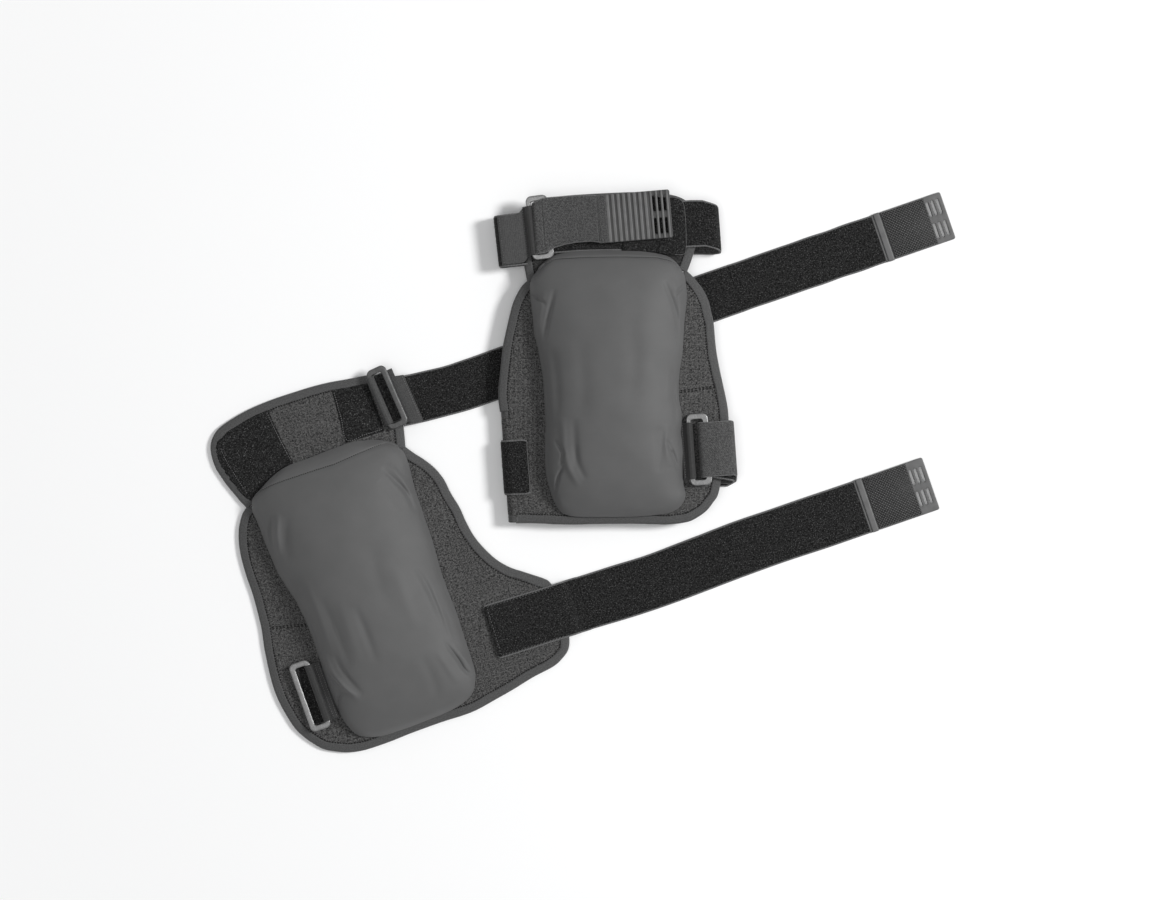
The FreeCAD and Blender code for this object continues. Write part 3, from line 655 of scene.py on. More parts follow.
MESH = spacer_mesh("spacer_mesh_cloth", 0.112)
# a darker copy of the same spacer mesh, painted shade, for the closed guard's cuff
SHADED_MESH = spacer_mesh("dark_spacer_mesh_cloth", 0.05)
LINER = liner_knit()
TAPE = edge_tape()
COVER = stretch_cover()
PILE = pile("black_pile", "pile", 0.029)
STRAP_PILE = pile("strap_pile", "strap_elastic", 0.028)
STRAP_KNIT = strap_knit()
SELVEDGE = selvedge()
WEBBING = webbing("webbing_cloth", 0.066)
# a darker copy of the same webbing, painted shade, for the webbing rolled round the ring bars
SHADED_WEBBING = webbing("dark_webbing_cloth", 0.03)
# one ring steel in two painted tones: a darker copy as painted shade for the open guard's tilted upper ring, a
# lighter copy as painted highlight for the other rings
SHADED_RING_METAL = ring_metal("ring_dark_steel", 0.11)
LIT_RING_METAL = ring_metal("ring_bright_steel", 0.2)
MOULDED = moulded()
HOOKS = hook_plastic()
DARK_THREAD = thread("dark_thread", "edge_tape", 0.007)
GREY_THREAD = thread("grey_thread", "webbing", 0.16)


# ---- panels, liners and bindings ----

PINCH = 8.0            # how far in from the rim the binding presses the mesh thin
PINCH_DEPTH = 1.3
SOFT_HEIGHT, SOFT_SIZE, SOFT_EDGE = 0.35, 34.0, 14.0     # the panel's soft waves, which fade near its rim
TAPE_WIDTH = 7.0
TAPE_T = 0.7
TAPE_OVERLAP = 1.7
TAPE_SKIN = [(1.0, 0.1), (0.93, 0.62), (0.75, 0.8), (0.45, 0.86), (0.2, 0.8), (0.05, 0.45)]
TAPE_SUNK = 0.25       # how far the tape's inner face lies in the cloth that it binds


class Sheet:
    """A panel of one guard: its outline, the stretches of it that are bound, and the height of its faces."""

    def __init__(self, guard, runs, joins, seed, step=1.6):
        self.guard = guard
        self.runs = [smooth(run, step) for run in runs]
        parts = [x for pair in zip(self.runs, joins) for x in pair]
        self.outline = resample(np.vstack([np.asarray(p, float) for p in parts]), step, closed=True)
        self.seed = seed

    def away(self, uv):
        """Distance from the bound part of the rim."""
        return np.min([segment_distance(uv, run, closed=False)[0] for run in self.runs], axis=0)

    def top(self, uv, away=None):
        if away is None:
            away = self.away(uv)
        pressed = PINCH_DEPTH * (1 - step_up(away / PINCH))
        soft = SOFT_HEIGHT * waves(uv, SOFT_SIZE, self.seed) * step_up(away / SOFT_EDGE)
        return self.guard.base(uv) + PANEL_T - pressed + soft


def panel(name, sheet, node, liner_name, liner_node, cloth=MESH):
    """The spacer mesh of a panel, and the knit liner under it."""
    guard = sheet.guard
    uv, faces = fill(sheet.outline, 3.2)
    base = guard.base(uv)
    for layer_name, top, bottom, material, stands_for in (
            (name, sheet.top(uv), base + LINER_T + LAYER_GAP, cloth, node),
            (liner_name, base + LINER_T - LAYER_GAP, base + 0.02, LINER, liner_node)):
        layer = piece(layer_name, guard, *sheet_slab(uv, top, bottom, faces), material, [stands_for])


def binding_rows(sheet, run):
    """Rows of points across the tape: over the top face, round the rim and under the bottom face."""
    guard = sheet.guard
    inward = left_of(tangents(run))
    along = run_lengths(run)
    width = TAPE_WIDTH + 0.35 * waves(run, 17.0, sheet.seed + 3)
    rows, flat = [], []

    def add(depth, height, across):
        rows.append(np.column_stack([run + inward * depth[:, None], height]))
        flat.append(np.column_stack([along, np.full(len(run), across), np.zeros(len(run))]))

    def add_over(share, rise):
        depth = width * share
        add(depth, sheet.top(run + inward * depth[:, None], depth) + rise, share * TAPE_WIDTH)

    def add_under(share, rise):
        depth = width * share
        add(depth, guard.base(run + inward * depth[:, None]) + rise, -2.0 - share * TAPE_WIDTH)

    for share, rise in TAPE_SKIN:
        add_over(share, rise * TAPE_T)
    bottom_edge = guard.base(run)
    top_edge = sheet.top(run, np.zeros(len(run)))
    for share in (0.75, 0.5, 0.25):
        stands_out = 0.75 * math.sin(math.pi * share) + 0.15
        add(np.full(len(run), -stands_out), bottom_edge + (top_edge - bottom_edge) * share, -share)
    for share, rise in reversed(TAPE_SKIN):
        add_under(share, -rise * TAPE_T)
    for share in (1.0, 0.12):
        add_under(share, TAPE_SUNK)
    for share in (0.12, 1.0):
        add_over(share, -TAPE_SUNK)
    return rows, flat


def stitch_mesh():
    """One stitch: a short raised thread with its two ends sunk in the cloth."""
    ring = [(-0.3, -1, 0), (-0.3, 1, 0), (-0.2, 0.6, 1), (-0.2, -0.6, 1)]
    points = [(-1, 0, -0.3)] + ring + [(-x, y, z) for x, y, z in ring] + [(1, 0, -0.3)]
    faces = [[0, 2, 1], [0, 3, 2], [0, 4, 3], [0, 1, 4]]
    for j in range(4):
        k = (j + 1) % 4
        faces.append([1 + j, 1 + k, 5 + k, 5 + j])
        faces.append([9, 5 + j, 5 + k])
    return np.array(points, float), faces


STITCH, STITCH_FACES = stitch_mesh()
STITCH_SIZE = {         # pitch, length, half width and height
    "tape": (2.5, 2.3, 0.7, 0.34), "pad": (2.1, 1.8, 0.36, 0.2), "keeper": (2.2, 1.7, 0.25, 0.24),
    "bar": (2.0, 1.5, 0.25, 0.2), "seam": (3.4, 2.7, 0.62, 0.34), "strap": (3.0, 2.2, 0.22, 0.2),
    "patch": (2.0, 1.7, 0.36, 0.45), "flap": (1.1, 1.0, 0.4, 0.3),
}


def upward(line, here=None):
    """A line with the direction up at each of its points, both turned into a frame if one is given."""
    up = np.tile([0.0, 0.0, 1.0], (len(line), 1))
    return (here.put(line), here.turn(up)) if here else (line, up)


def stitches(kind, name, guard, lines, material, body):
    """Rows of stitches along lines of points, each line with the directions that it stands up in."""
    pitch, length, half_width, height = STITCH_SIZE[kind]
    points, faces, place = [], [], []
    for line, up in lines:
        lengths = run_lengths(line)
        spots = np.arange(pitch / 2, lengths[-1], pitch)
        middle = points_at(line, spots)
        along = unit(points_at(line, spots + 0.8) - points_at(line, spots - 0.8))
        side = unit(np.cross(np.stack([np.interp(spots, lengths, up[:, k]) for k in range(3)], 1), along))
        axes = np.stack([along * length / 2, side * half_width, np.cross(along, side) * height], 1)
        for at, spot, own in zip(spots, middle, axes):
            faces += moved(STITCH_FACES, len(points))
            points += list(spot + STITCH @ own)
            place += list(STITCH + [at, 0.0, 0.0])
    piece(name, guard, points, faces, material, [], place, body=body)


def binding(name, sheet, node, stitch_name):
    """Tape folded over a panel's rim along its bound runs, with its row of stitches."""
    parts, place, lines = [], [], []
    for run in sheet.runs:
        ahead = tangents(run) * TAPE_OVERLAP
        run = np.vstack([run[:1] - ahead[:1], run, run[-1:] + ahead[-1:]])
        points, faces, flat = tube_of(*binding_rows(sheet, run))
        parts.append((points, faces))
        place.append(flat)
        depth = np.full(len(run), TAPE_WIDTH + 0.4)
        spot = run + left_of(tangents(run)) * depth[:, None]
        lines.append(upward(np.column_stack([spot, sheet.top(spot, depth) + 0.1])))
    made = piece(name, sheet.guard, *joined(parts), TAPE, [node], np.vstack(place))
    stitches("tape", stitch_name, sheet.guard, lines, DARK_THREAD, BODY_OF[node])


PATCH_T = 1.3
PATCH_CORNER = 0.9
PATCH_ROLL = 1.2       # how far in the patch's rim is rounded
PATCH_SEAM_IN = 2.2    # where its stitches pull it down
PATCH_SEAM_DEPTH = 0.45
PATCH_FOOT = 0.15


def patch(name, guard, outline, surface, node, thickness=PATCH_T, covers=True):
    """A hook or loop patch sewn on a surface, with a soft rounded rim and its stitches."""
    rim = round_corners(outline, PATCH_CORNER, 1.3)
    uv, faces = fill(rim, 1.7)
    away, _ = segment_distance(uv, rim)
    fuzz = 0.14 * waves(uv, 2.2, 11) * np.clip(away / 2.0, 0, 1)
    sunk = PATCH_SEAM_DEPTH * np.exp(-((away - PATCH_SEAM_IN) / 0.7) ** 2)
    low = surface(uv)
    top = low + PATCH_FOOT + (thickness - PATCH_FOOT) * bulge(away / PATCH_ROLL) + fuzz - sunk
    points, all_faces = sheet_slab(uv, top, low + LAYER_GAP, faces)
    made = piece(name, guard, points, all_faces, PILE, [node] if covers else [], points, body=BODY_OF[node])


# ---- pads ----

WALL = (0.6, 1.0, 1.0, 0.3, -1.0, -2.8)     # how far the pad's wall stands out, from its top edge down
CROWN_EDGE = 6.0
CROWN_RISE = 16.0
EDGE_ROLL = 5.5        # how far in the pad's top edge is rounded
EDGE_DROP = 2.0
SEAM_DEPTH, SEAM_WIDTH = 0.85, 1.3
WAVE_HEIGHT, WAVE_SIZE, WAVE_EDGE = 0.3, 42.0, 16.0      # the cover's soft waves, which fade near its edge
GUSSET_OUT, GUSSET_IN = 0.5, -0.25      # the gusset's two faces from the cover's
COVER_CLEARANCE = 0.4
WALL_SUNK = 0.4        # how far the wall's foot goes into the panel
PAD_ROWS, PAD_COLUMNS = 230, 150
ROW_STEP = 1.1         # about how far apart the rows are
UNDER_STEP, UNDER_MARGIN = 8, 4         # rows and columns that the underside skips, inside and at the rim


def nearest(line, spot):
    return int(np.argmin(np.linalg.norm(line - np.array(spot), axis=1)))


def part_of(line, start, stop):
    """The stretch of a closed line from one index round to another."""
    if stop <= start:
        stop += len(line)
    return line[np.arange(start, stop + 1) % len(line)]


def coons(left, right, bottom, top):
    """A grid of points between four sides. Left and right run upwards, bottom and top to the right."""
    t = np.linspace(0, 1, len(left))[:, None, None]
    s = np.linspace(0, 1, len(bottom))[None, :, None]
    ruled = (1 - t) * bottom[None] + t * top[None] + (1 - s) * left[:, None] + s * right[:, None]
    corner = ((1 - s) * (1 - t) * bottom[0] + s * (1 - t) * bottom[-1]
              + (1 - s) * t * top[0] + s * t * top[-1])
    return ruled - corner, s[0, :, 0], t[:, 0, 0]


def folds(uv, creases):
    """Height that creases and soft folds add. Each is (points, width, height), negative for a groove."""
    total = np.zeros(len(uv))
    for points, width, height in creases:
        away, along = segment_distance(uv, catmull(points, False, 6), closed=False)
        taper = np.clip(np.sin(np.pi * np.clip(along, 0, 1)), 0, 1) ** 0.7
        total += 1.2 * height * taper * np.exp(-(away / (0.85 * width)) ** 2)
    return total


def pad(guard, shape):
    """The stuffed pad: a crowned cover with a wall, and the top gusset sewn along its seam."""
    rows, columns, count = PAD_ROWS, PAD_COLUMNS, PAD_ROWS * PAD_COLUMNS
    rim = smooth(shape["outline"], 1.3, closed=True)
    upper_left, lower_left, lower_right, upper_right = (nearest(rim, spot) for spot in shape["corners"])
    left = even(part_of(rim, upper_left, lower_left)[::-1], rows)
    bottom = even(part_of(rim, lower_left, lower_right), columns)
    right = even(part_of(rim, lower_right, upper_right), rows)
    top = even(part_of(rim, upper_right, upper_left)[::-1], columns)
    grid, s, t = coons(left, right, bottom, top)
    seam = int(round(shape["seam_share"] * (rows - 1)))
    grid, t = follow_seam(grid, t, seam, shape["seam"])
    uv = grid.reshape(-1, 2)
    row_of = np.repeat(np.arange(rows), columns)
    surface = pad_surface(guard, shape, rim, uv, np.tile(s, rows), t.ravel(), row_of - seam)
    border = border_of(rows, columns)
    loop = uv[border]
    outward = -left_of(tangents(loop, True))
    edge_z = surface[border, 2]
    foot_z = guard.base(loop) + PANEL_T - WALL_SUNK
    points, flat = [surface], [np.column_stack([uv, np.zeros(count)])]
    for k, out in enumerate(WALL, 1):
        share = (k / len(WALL)) ** 0.9
        points.append(np.column_stack([loop + outward * out, edge_z + (foot_z - edge_z) * share]))
        flat.append(np.column_stack([loop + outward * k * 1.5, np.zeros(len(loop))]))
    points, flat = np.vstack(points), np.vstack(flat)
    faces = grid_faces(rows, columns) + wall_faces(border, count, len(border), len(WALL))
    level = np.r_[row_of, np.tile(row_of[border], len(WALL))]
    normals = normals_of(points, faces)
    bottom_points, bottom_faces = under_side(guard, points, border, rows, columns)
    made = piece(guard.name + "_pad_cover_cloth", guard, np.vstack([points, bottom_points]),
                 faces + bottom_faces, COVER, [guard.name + "_pad_cover"], np.vstack([flat, bottom_points]))
    above_seam = [f for f in faces if min(level[i] for i in f) >= seam]
    skin_points, skin_faces, skin_flat = skin(points, normals, flat, above_seam)
    gusset = piece(guard.name + "_pad_gusset_cloth", guard, skin_points, skin_faces, COVER,
                   [guard.name + "_pad_gusset"], skin_flat)
    sewn = slice(seam * columns + 2, (seam + 1) * columns - 2)
    line = points[sewn] + normals[sewn] * 0.45
    stitches("pad", guard.name + "_pad_seam_thread", guard, [(line, normals[sewn])], DARK_THREAD,
             BODY_OF[guard.name + "_pad_cover"])


def pad_surface(guard, shape, rim, uv, s, t, rows_from_seam):
    """The top of the cover: a crown, its rounded edge, creases, and the groove along the seam."""
    crown = CROWN_EDGE + CROWN_RISE * (1 - np.abs(2 * s - 1) ** 4) * (1 - np.abs(2 * t - 1) ** 6)
    away, _ = segment_distance(uv, rim)
    crown -= EDGE_DROP * np.clip(1 - away / EDGE_ROLL, 0, 1) ** 2
    soft = WAVE_HEIGHT * step_up(away / WAVE_EDGE) * waves(uv, WAVE_SIZE, shape["seed"])
    crown += folds(uv, shape["creases"]) + soft
    crown -= SEAM_DEPTH * np.exp(-(rows_from_seam * ROW_STEP / SEAM_WIDTH) ** 2)
    return clear_of_inner_parts(guard, np.column_stack([uv, guard.base(uv) + PANEL_T + crown]))


def clear_of_inner_parts(guard, surface):
    """Lifts a cover wherever its folds would sink into the foam or the shell below it."""
    for part in ("_pad_foam", "_armour_shell"):
        node = frame["nodes"][guard.name + part]
        corners = [node.matrix_world @ vertex.co for vertex in node.data.vertices]
        tree = BVHTree.FromPolygons(corners, [tuple(face.vertices) for face in node.data.polygons])
        for k, point in enumerate(guard.world(surface)):
            hit = tree.ray_cast(Vector((point[0], point[1], 1.0)), Vector((0.0, 0.0, -1.0)))[0]
            if hit is not None:
                surface[k, 2] += max(0.0, (hit.z - point[2]) / MM + COVER_CLEARANCE)
    return surface


def follow_seam(grid, t, seam, line):
    """Spaces each column's rows again so that one row lies along the seam."""
    rows, columns = grid.shape[:2]
    us, vs = np.array(line, float).T
    index = np.arange(rows)
    new_grid, new_t = np.empty_like(grid), np.empty((rows, columns))
    for j in range(columns):
        below = grid[:, j, 1] - np.interp(grid[:, j, 0], us, vs)
        crossing = min(np.interp(0.0, below[rows // 2:], index[rows // 2:]), rows - 1.6)
        at = np.r_[np.linspace(0, crossing, seam + 1), np.linspace(crossing, rows - 1, rows - seam)[1:]]
        for k in range(2):
            new_grid[:, j, k] = np.interp(at, index, grid[:, j, k])
        new_t[:, j] = np.interp(at, index, t)
    return new_grid, new_t


def border_of(rows, columns):
    """Indices round a grid's edge, anticlockwise, each once."""
    bottom = list(range(columns))
    right = [i * columns + columns - 1 for i in range(1, rows)]
    top = [(rows - 1) * columns + j for j in range(columns - 2, -1, -1)]
    left = [i * columns for i in range(rows - 2, 0, -1)]
    return np.array(bottom + right + top + left)


def wall_faces(border, start, count, rings):
    """Quads from a grid's border down through rings of points, which begin at an index."""
    faces = []
    for k in range(rings):
        upper = border if k == 0 else start + (k - 1) * count + np.arange(count)
        lower = start + k * count
        for j in range(count):
            n = (j + 1) % count
            faces.append([lower + j, lower + n, upper[n], upper[j]])
    return faces


def under_side(guard, points, border, rows, columns):
    """Closes the pad underneath, just above the panel."""
    count = len(border)
    last = len(points) - count
    some = slice(UNDER_MARGIN, -UNDER_MARGIN, UNDER_STEP)
    inner = points[:rows * columns, :2].reshape(rows, columns, 2)[some, some]
    shape = inner.shape[:2]
    uv = inner.reshape(-1, 2)
    low = np.column_stack([uv, guard.base(uv) + PANEL_T + 0.3])
    faces = moved([f[::-1] for f in grid_faces(*shape)], len(points))
    edge = [i + len(points) for i in border_of(*shape)]
    return low, faces + zip_loops([last + j for j in range(count)], edge, np.vstack([points, low]))


def zip_loops(outer, inner, points):
    """Triangles that join two closed loops which run the same way, seen from below."""
    faces = []
    shift = int(np.argmin(np.linalg.norm(points[outer][:, :2] - points[inner[0]][:2], axis=1)))
    outer = outer[shift:] + outer[:shift]
    i = j = 0
    n, m = len(outer), len(inner)
    while i < n or j < m:
        if j >= m or (i < n and (i + 1) / n <= (j + 1) / m):
            faces.append([outer[(i + 1) % n], outer[i % n], inner[j % m]])
            i += 1
        else:
            faces.append([inner[j % m], inner[(j + 1) % m], outer[i % n]])
            j += 1
    return faces


def skin(points, normals, flat, faces):
    """A thin closed skin that follows some faces of a surface."""
    used = sorted({i for f in faces for i in f})
    renumber = {old: new for new, old in enumerate(used)}
    faces = [[renumber[i] for i in f] for f in faces]
    outer, inner = (points[used] + normals[used] * out for out in (GUSSET_OUT, GUSSET_IN))
    return *closed_slab(outer, inner, faces), np.vstack([flat[used], flat[used]])


# ---- straps ----

STRAP_EDGE = 1.5       # the thin woven edge, on each side
RUN_STEP = 1.5
SEWN_LENGTH = 66.0     # of the stitches along the edges of a strap's sewn end
PILE_SIDE, WOVEN_EDGE, KNIT_SIDE = 0, 1, 2      # which finish a stretch of the section has


def strip_section(width, thickness, step=1.6):
    """Points across a strap, as (across, out of its middle), and which finish each stretch has."""
    half, top, low = width / 2, thickness / 2, -thickness / 2
    count = max(6, int((width - 2 * STRAP_EDGE) / step))
    across = np.linspace(half - STRAP_EDGE, -half + STRAP_EDGE, count)
    upper = [(half, 0.0), (half - 0.15, 0.45 * top), (half - 0.6, 0.62 * top),
             (half - STRAP_EDGE + 0.1, 0.62 * top)]
    lower = [(-half + 0.15, 0.6 * low), (-half + 0.8, 0.85 * low)]
    section = upper + [(x, top * (0.9 if k in (0, count - 1) else 1.0)) for k, x in enumerate(across)]
    section += [(-x, y) for x, y in reversed(upper)] + lower
    section += [(x, low) for x in -across] + [(-x, y) for x, y in reversed(lower)]
    kinds = [WOVEN_EDGE] * 3 + [PILE_SIDE] * (count + 1) + [WOVEN_EDGE] * 5
    kinds += [KNIT_SIDE] * (count + 1) + [WOVEN_EDGE] * 2
    return np.array(section), kinds


def strap(name, guard, run, node, width, seed, bend=None, shape=None):
    """An elastic strap: black pile on the face away from the leg, grey knit on the other, thin woven edges.
    bend is (fixed body, moving body, start, stop): a strap that is given one is left loose, not attached to a
    body, and its place is baked into its points; the two bodies and start and stop are not used. shape gives how
    far each edge moves out, in mm, from the length along the strap: (side's edge, other edge)."""
    centre, side = run
    section, kinds = strip_section(width, STRAP_T)
    lengths = run_lengths(centre)
    pull = 1 + (0.35 / width) * waves(np.column_stack([lengths, lengths * 0]), 40.0, seed)
    edges = shape(lengths) if shape else (0.0, 0.0)

    def shift(k, x, y, lengths):
        share = x / width + 0.5
        reach = x * pull + edges[0] * share - edges[1] * (1 - share)
        if kinds[k] != PILE_SIDE or y <= 0:
            return reach, y
        here = np.column_stack([lengths, np.full(len(lengths), x)])
        return reach, y + 0.13 * waves(here, 2.4, seed + 1)

    points, faces, place = sweep(centre, side, section, shift)
    which = kinds * (len(centre) - 1) + [WOVEN_EDGE] * 2
    made = piece(name, guard, points, faces, [STRAP_PILE, SELVEDGE, STRAP_KNIT], [node], place, which,
                 loose=bend is not None)
    if bend is not None:
        start, stop = guard.world([bend[2], bend[3]]).tolist()
        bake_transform(made)


def round_end(radius):
    """Edges that draw in round a strap's end, so that its corners are round."""
    def shape(lengths):
        inset = radius * (1 - bulge(lengths / radius))
        return -inset, -inset
    return shape


def edges_at(knots, low, high):
    """How far a strap's two edges stand out at the knots, which are shares of its length."""
    def shape(lengths):
        share = lengths / lengths[-1]
        return np.interp(share, knots, low), np.interp(share, knots, high)
    return shape


def flat_run(points, high=STRAP_T / 2, level=0.0):
    """A strap's middle and side along a run in plan: high for a level stretch, then down to the table."""
    line = smooth(points, RUN_STEP)
    low = STRAP_T / 2
    fall = step_up((run_lengths(line) - level) / STRAP_RAMP)
    centre = np.column_stack([line, high + (low - high) * fall])
    return centre, np.column_stack([left_of(tangents(line)), np.zeros(len(line))])


def upright_run(points, radii, here, across=0.0):
    """A strap's middle and side along a route in an upright plane of a frame."""
    line = route(points, radii)
    centre = here.put(np.column_stack([line[:, 0], np.full(len(line), across), line[:, 1]]))
    return centre, np.tile(here.turn([[0.0, -1.0, 0.0]]), (len(line), 1))


# ---- hardware ----

RING_WIDTH, RING_T, RING_BAR, KEEPER_BAR = 20.0, 2.5, 5.3, 4.0
RING_CORNER, RING_HOLE_CORNER, RING_ROLL = 5.2, 2.2, 0.95       # outside, inside, and at the bars' edges
UPPER_RING, LOWER_RING = 58.0, 65.0     # lengths, for the 45 mm and the 50 mm strap
CORNER_POINTS = 12
SIDE_PARTS = 14
KEEPER_ROLL, KEEPER_T = 3.05, 1.2
ROLL_TURN, ROLL_STEPS = 300.0, 14       # how far the webbing goes round the bar, in degrees
KEEPER_SEAMS = (1.6, 1.2)       # how far its two seams are from the ends of the sewn tab


def rounded_rectangle(u0, u1, half_length, radius):
    """A loop of points round a rectangle with round corners, the same number at each corner and side."""
    corners = []
    for cu, cv, start in ((u1 - radius, half_length - radius, 0), (u0 + radius, half_length - radius, 90),
                          (u0 + radius, radius - half_length, 180), (u1 - radius, radius - half_length, 270)):
        for k in range(CORNER_POINTS):
            a = math.radians(start + 90 * k / (CORNER_POINTS - 1))
            corners.append((cu + radius * math.cos(a), cv + radius * math.sin(a)))
    loop = np.array(corners)
    points = []
    for k, (a, b) in enumerate(zip(loop, np.roll(loop, -1, 0)), 1):
        parts = SIDE_PARTS if k % CORNER_POINTS == 0 else 1
        points += [a + (b - a) * i / parts for i in range(parts)]
    return np.array(points)


# a ring gets the lighter copy of the steel, painted highlight, unless it is given the darker one
def ring(name, guard, here, length, node, metal=LIT_RING_METAL):
    """A stamped ring: flat bars with their edges rolled round."""
    u0 = -KEEPER_BAR / 2
    outer = rounded_rectangle(u0, u0 + RING_WIDTH, length / 2, RING_CORNER)
    inner = rounded_rectangle(-u0, u0 + RING_WIDTH - RING_BAR, length / 2 - RING_BAR, RING_HOLE_CORNER)
    width = np.linalg.norm(inner - outer, axis=1)
    half = RING_T / 2
    rolled = [(RING_ROLL * (1 - math.cos(t)), half * math.sin(t)) for t in np.radians(range(-90, 91, 30))]
    section = [(np.full(len(outer), inset), z) for inset, z in rolled]
    section += [(width * share, half) for share in (0.35, 0.65)]
    section += [(width - inset, z) for inset, z in reversed(rolled)]
    inward = unit(inner - outer)
    lengths = run_lengths(outer)
    rows, flat = [], []
    for inset, z in section:
        level = np.full(len(outer), z)
        rows.append(np.column_stack([outer + inward * inset[:, None], level]))
        flat.append(np.column_stack([lengths, inset, level]))
    points, place = (np.stack(x, 1).reshape(-1, 3) for x in (rows, flat))
    across, along = len(rows), len(outer)
    faces = []
    for i in range(along):
        n = (i + 1) % along
        for j in range(across):
            k = (j + 1) % across
            faces.append([i * across + j, n * across + j, n * across + k, i * across + k])
    piece(name, guard, here.put(points), faces, metal, [node], place)


def keeper(name, guard, here, width, hand, under, over, node, cloth=WEBBING, tab=None):
    """Webbing rolled round the ring's keeper bar. One end reaches to under; the other lies along over."""
    v = over[0][2]
    line = [(under, -KEEPER_ROLL, v), (under * 0.5, -KEEPER_ROLL, v), (1.0, -KEEPER_ROLL, v)]
    for k in range(1, ROLL_STEPS + 1):
        a = math.radians(-90 - ROLL_TURN * k / ROLL_STEPS)
        line.append((KEEPER_ROLL * math.cos(a), KEEPER_ROLL * math.sin(a), v))
    line = resample(np.array(line + list(over)), 0.7)
    line[:, 0] *= hand
    centre = here.put(line[:, [0, 2, 1]])
    side = here.turn(np.tile([[0.0, -hand, 0.0]], (len(line), 1)))
    half, h = width / 2, KEEPER_T / 2
    rounding = [(half, 0), (half - 0.2, h * 0.8), (half - 0.7, h)]
    face = np.linspace(half - 1.6, -half + 1.6, 24)
    section = rounding + [(x, h) for x in face] + [(-x, y) for x, y in reversed(rounding)]
    section += [(-x, -y) for x, y in rounding[1:]] + [(x, -h) for x in -face]
    section += [(x, -y) for x, y in reversed(rounding[1:])]
    points, faces, place = sweep(centre, side, section)
    lengths = run_lengths(centre)
    beyond = lengths[-1] - (over[-1][0] - over[0][0])
    which = [int(tab is not None and at > beyond) for at in lengths[:-1] for _ in section] + [0, 0]
    made = piece(name, guard, points, faces, [cloth, tab or cloth], [node], place, which)
    seams = []
    for at in (over[-1][0] - KEEPER_SEAMS[0], over[0][0] + KEEPER_SEAMS[1]):
        rise, middle = (np.interp(at, [q[0] for q in over], [q[k] for q in over]) for k in (1, 2))
        v = middle + np.linspace(-half + 1.2, half - 1.2, 30)
        row = np.column_stack([np.full(30, at * hand), v, np.full(30, rise + h + 0.02)])
        seams.append(upward(row, here))
    stitches("keeper", name + "_thread", guard, seams, GREY_THREAD, BODY_OF[node])


def rounded_block(size, radius, cuts=3, middle=(0.0, 0.0, 0.0)):
    """Points and faces of a block with rounded edges."""
    mesh = bmesh.new()
    bmesh.ops.create_cube(mesh, size=1.0)
    for v in mesh.verts:
        v.co = Vector((v.co.x * size[0], v.co.y * size[1], v.co.z * size[2]))
    bmesh.ops.bevel(mesh, geom=list(mesh.edges), offset=radius, segments=cuts, profile=0.5, affect="EDGES")
    mesh.verts.ensure_lookup_table()
    points = np.array([list(v.co) for v in mesh.verts])
    faces = [[v.index for v in f.verts] for f in mesh.faces]
    mesh.free()
    return points + np.array(middle), faces


GRIP_LENGTH, GRIP_T, RIB_HEIGHT, RIB_WIDTH, RIB_PITCH, RIB_COUNT = 58.0, 1.8, 1.0, 3.1, 4.9, 12
RIB_BLOCK = 2.6        # height of a rib with what lies inside the plate
BAR_LENGTH, BAR_T = 8.4, 3.4
HOOK_LENGTH, HOOK_BASE_T, HOOK_PITCH = 41.0, 0.5, 1.45
SLOT_WIDE, SLOT_LONG, SLOT_PITCH, SLOT_ROW_GAP, SLOT_PAIRS = 2.6, 14.4, 4.9, 6.0, 3
SLOT_RIBS, SLOT_RIB_WIDTH = 4, 2.25     # the ribs beside the slots are narrower
GRIP_EDGE = 0.45       # radius on all the plate's edges


def box_loop(u, v, long_u, long_v, radius, step):
    corners = [(u + a * long_u / 2, v + b * long_v / 2) for a, b in ((-1, -1), (1, -1), (1, 1), (-1, 1))]
    return round_corners(corners, radius, step)


def grip_plate(width):
    """The flat plate of a pull, with round-ended slots and all its edges rounded."""
    rims = [box_loop(GRIP_LENGTH / 2, 0, GRIP_LENGTH, width, 2.0, 1.2)]
    for pair in range(1, SLOT_PAIRS + 1):
        rims += [box_loop(GRIP_LENGTH - SLOT_PITCH * pair, side * (SLOT_ROW_GAP + SLOT_LONG) / 2, SLOT_WIDE,
                          SLOT_LONG, SLOT_WIDE / 2 - 0.02, 0.5) for side in (-1, 1)]
    loops = []
    for k, rim in enumerate(rims):
        inward = GRIP_EDGE if k == 0 else -GRIP_EDGE
        loops += [rim, offset(rim, inward * 0.4, True), offset(rim, inward, True)]
    uv, faces = triangulated(loops)
    middles = np.array([uv[f].mean(axis=0) for f in faces])
    hole = np.any([inside(middles, rim) for rim in rims[1:]], axis=0)
    faces = [f for f, gone in zip(faces, hole) if not gone]
    away = np.min([segment_distance(uv, rim)[0] for rim in rims], axis=0)
    drop = GRIP_EDGE * (1 - bulge(away / GRIP_EDGE))
    return sheet_slab(uv, RIB_HEIGHT + GRIP_T - drop, RIB_HEIGHT + drop, faces)


def grip_mesh(width):
    """The pull: a plate with two rows of slots, and ribs across its lower face that run between the slots."""
    parts = [grip_plate(width)]
    for i in range(RIB_COUNT):
        across = SLOT_RIB_WIDTH if i < SLOT_RIBS else RIB_WIDTH
        u = GRIP_LENGTH - RIB_PITCH * (i + 0.5) - 0.1
        parts.append(rounded_block((across, width - 0.2, RIB_BLOCK), 0.75, middle=(u, 0, RIB_BLOCK / 2)))
    return joined(parts)


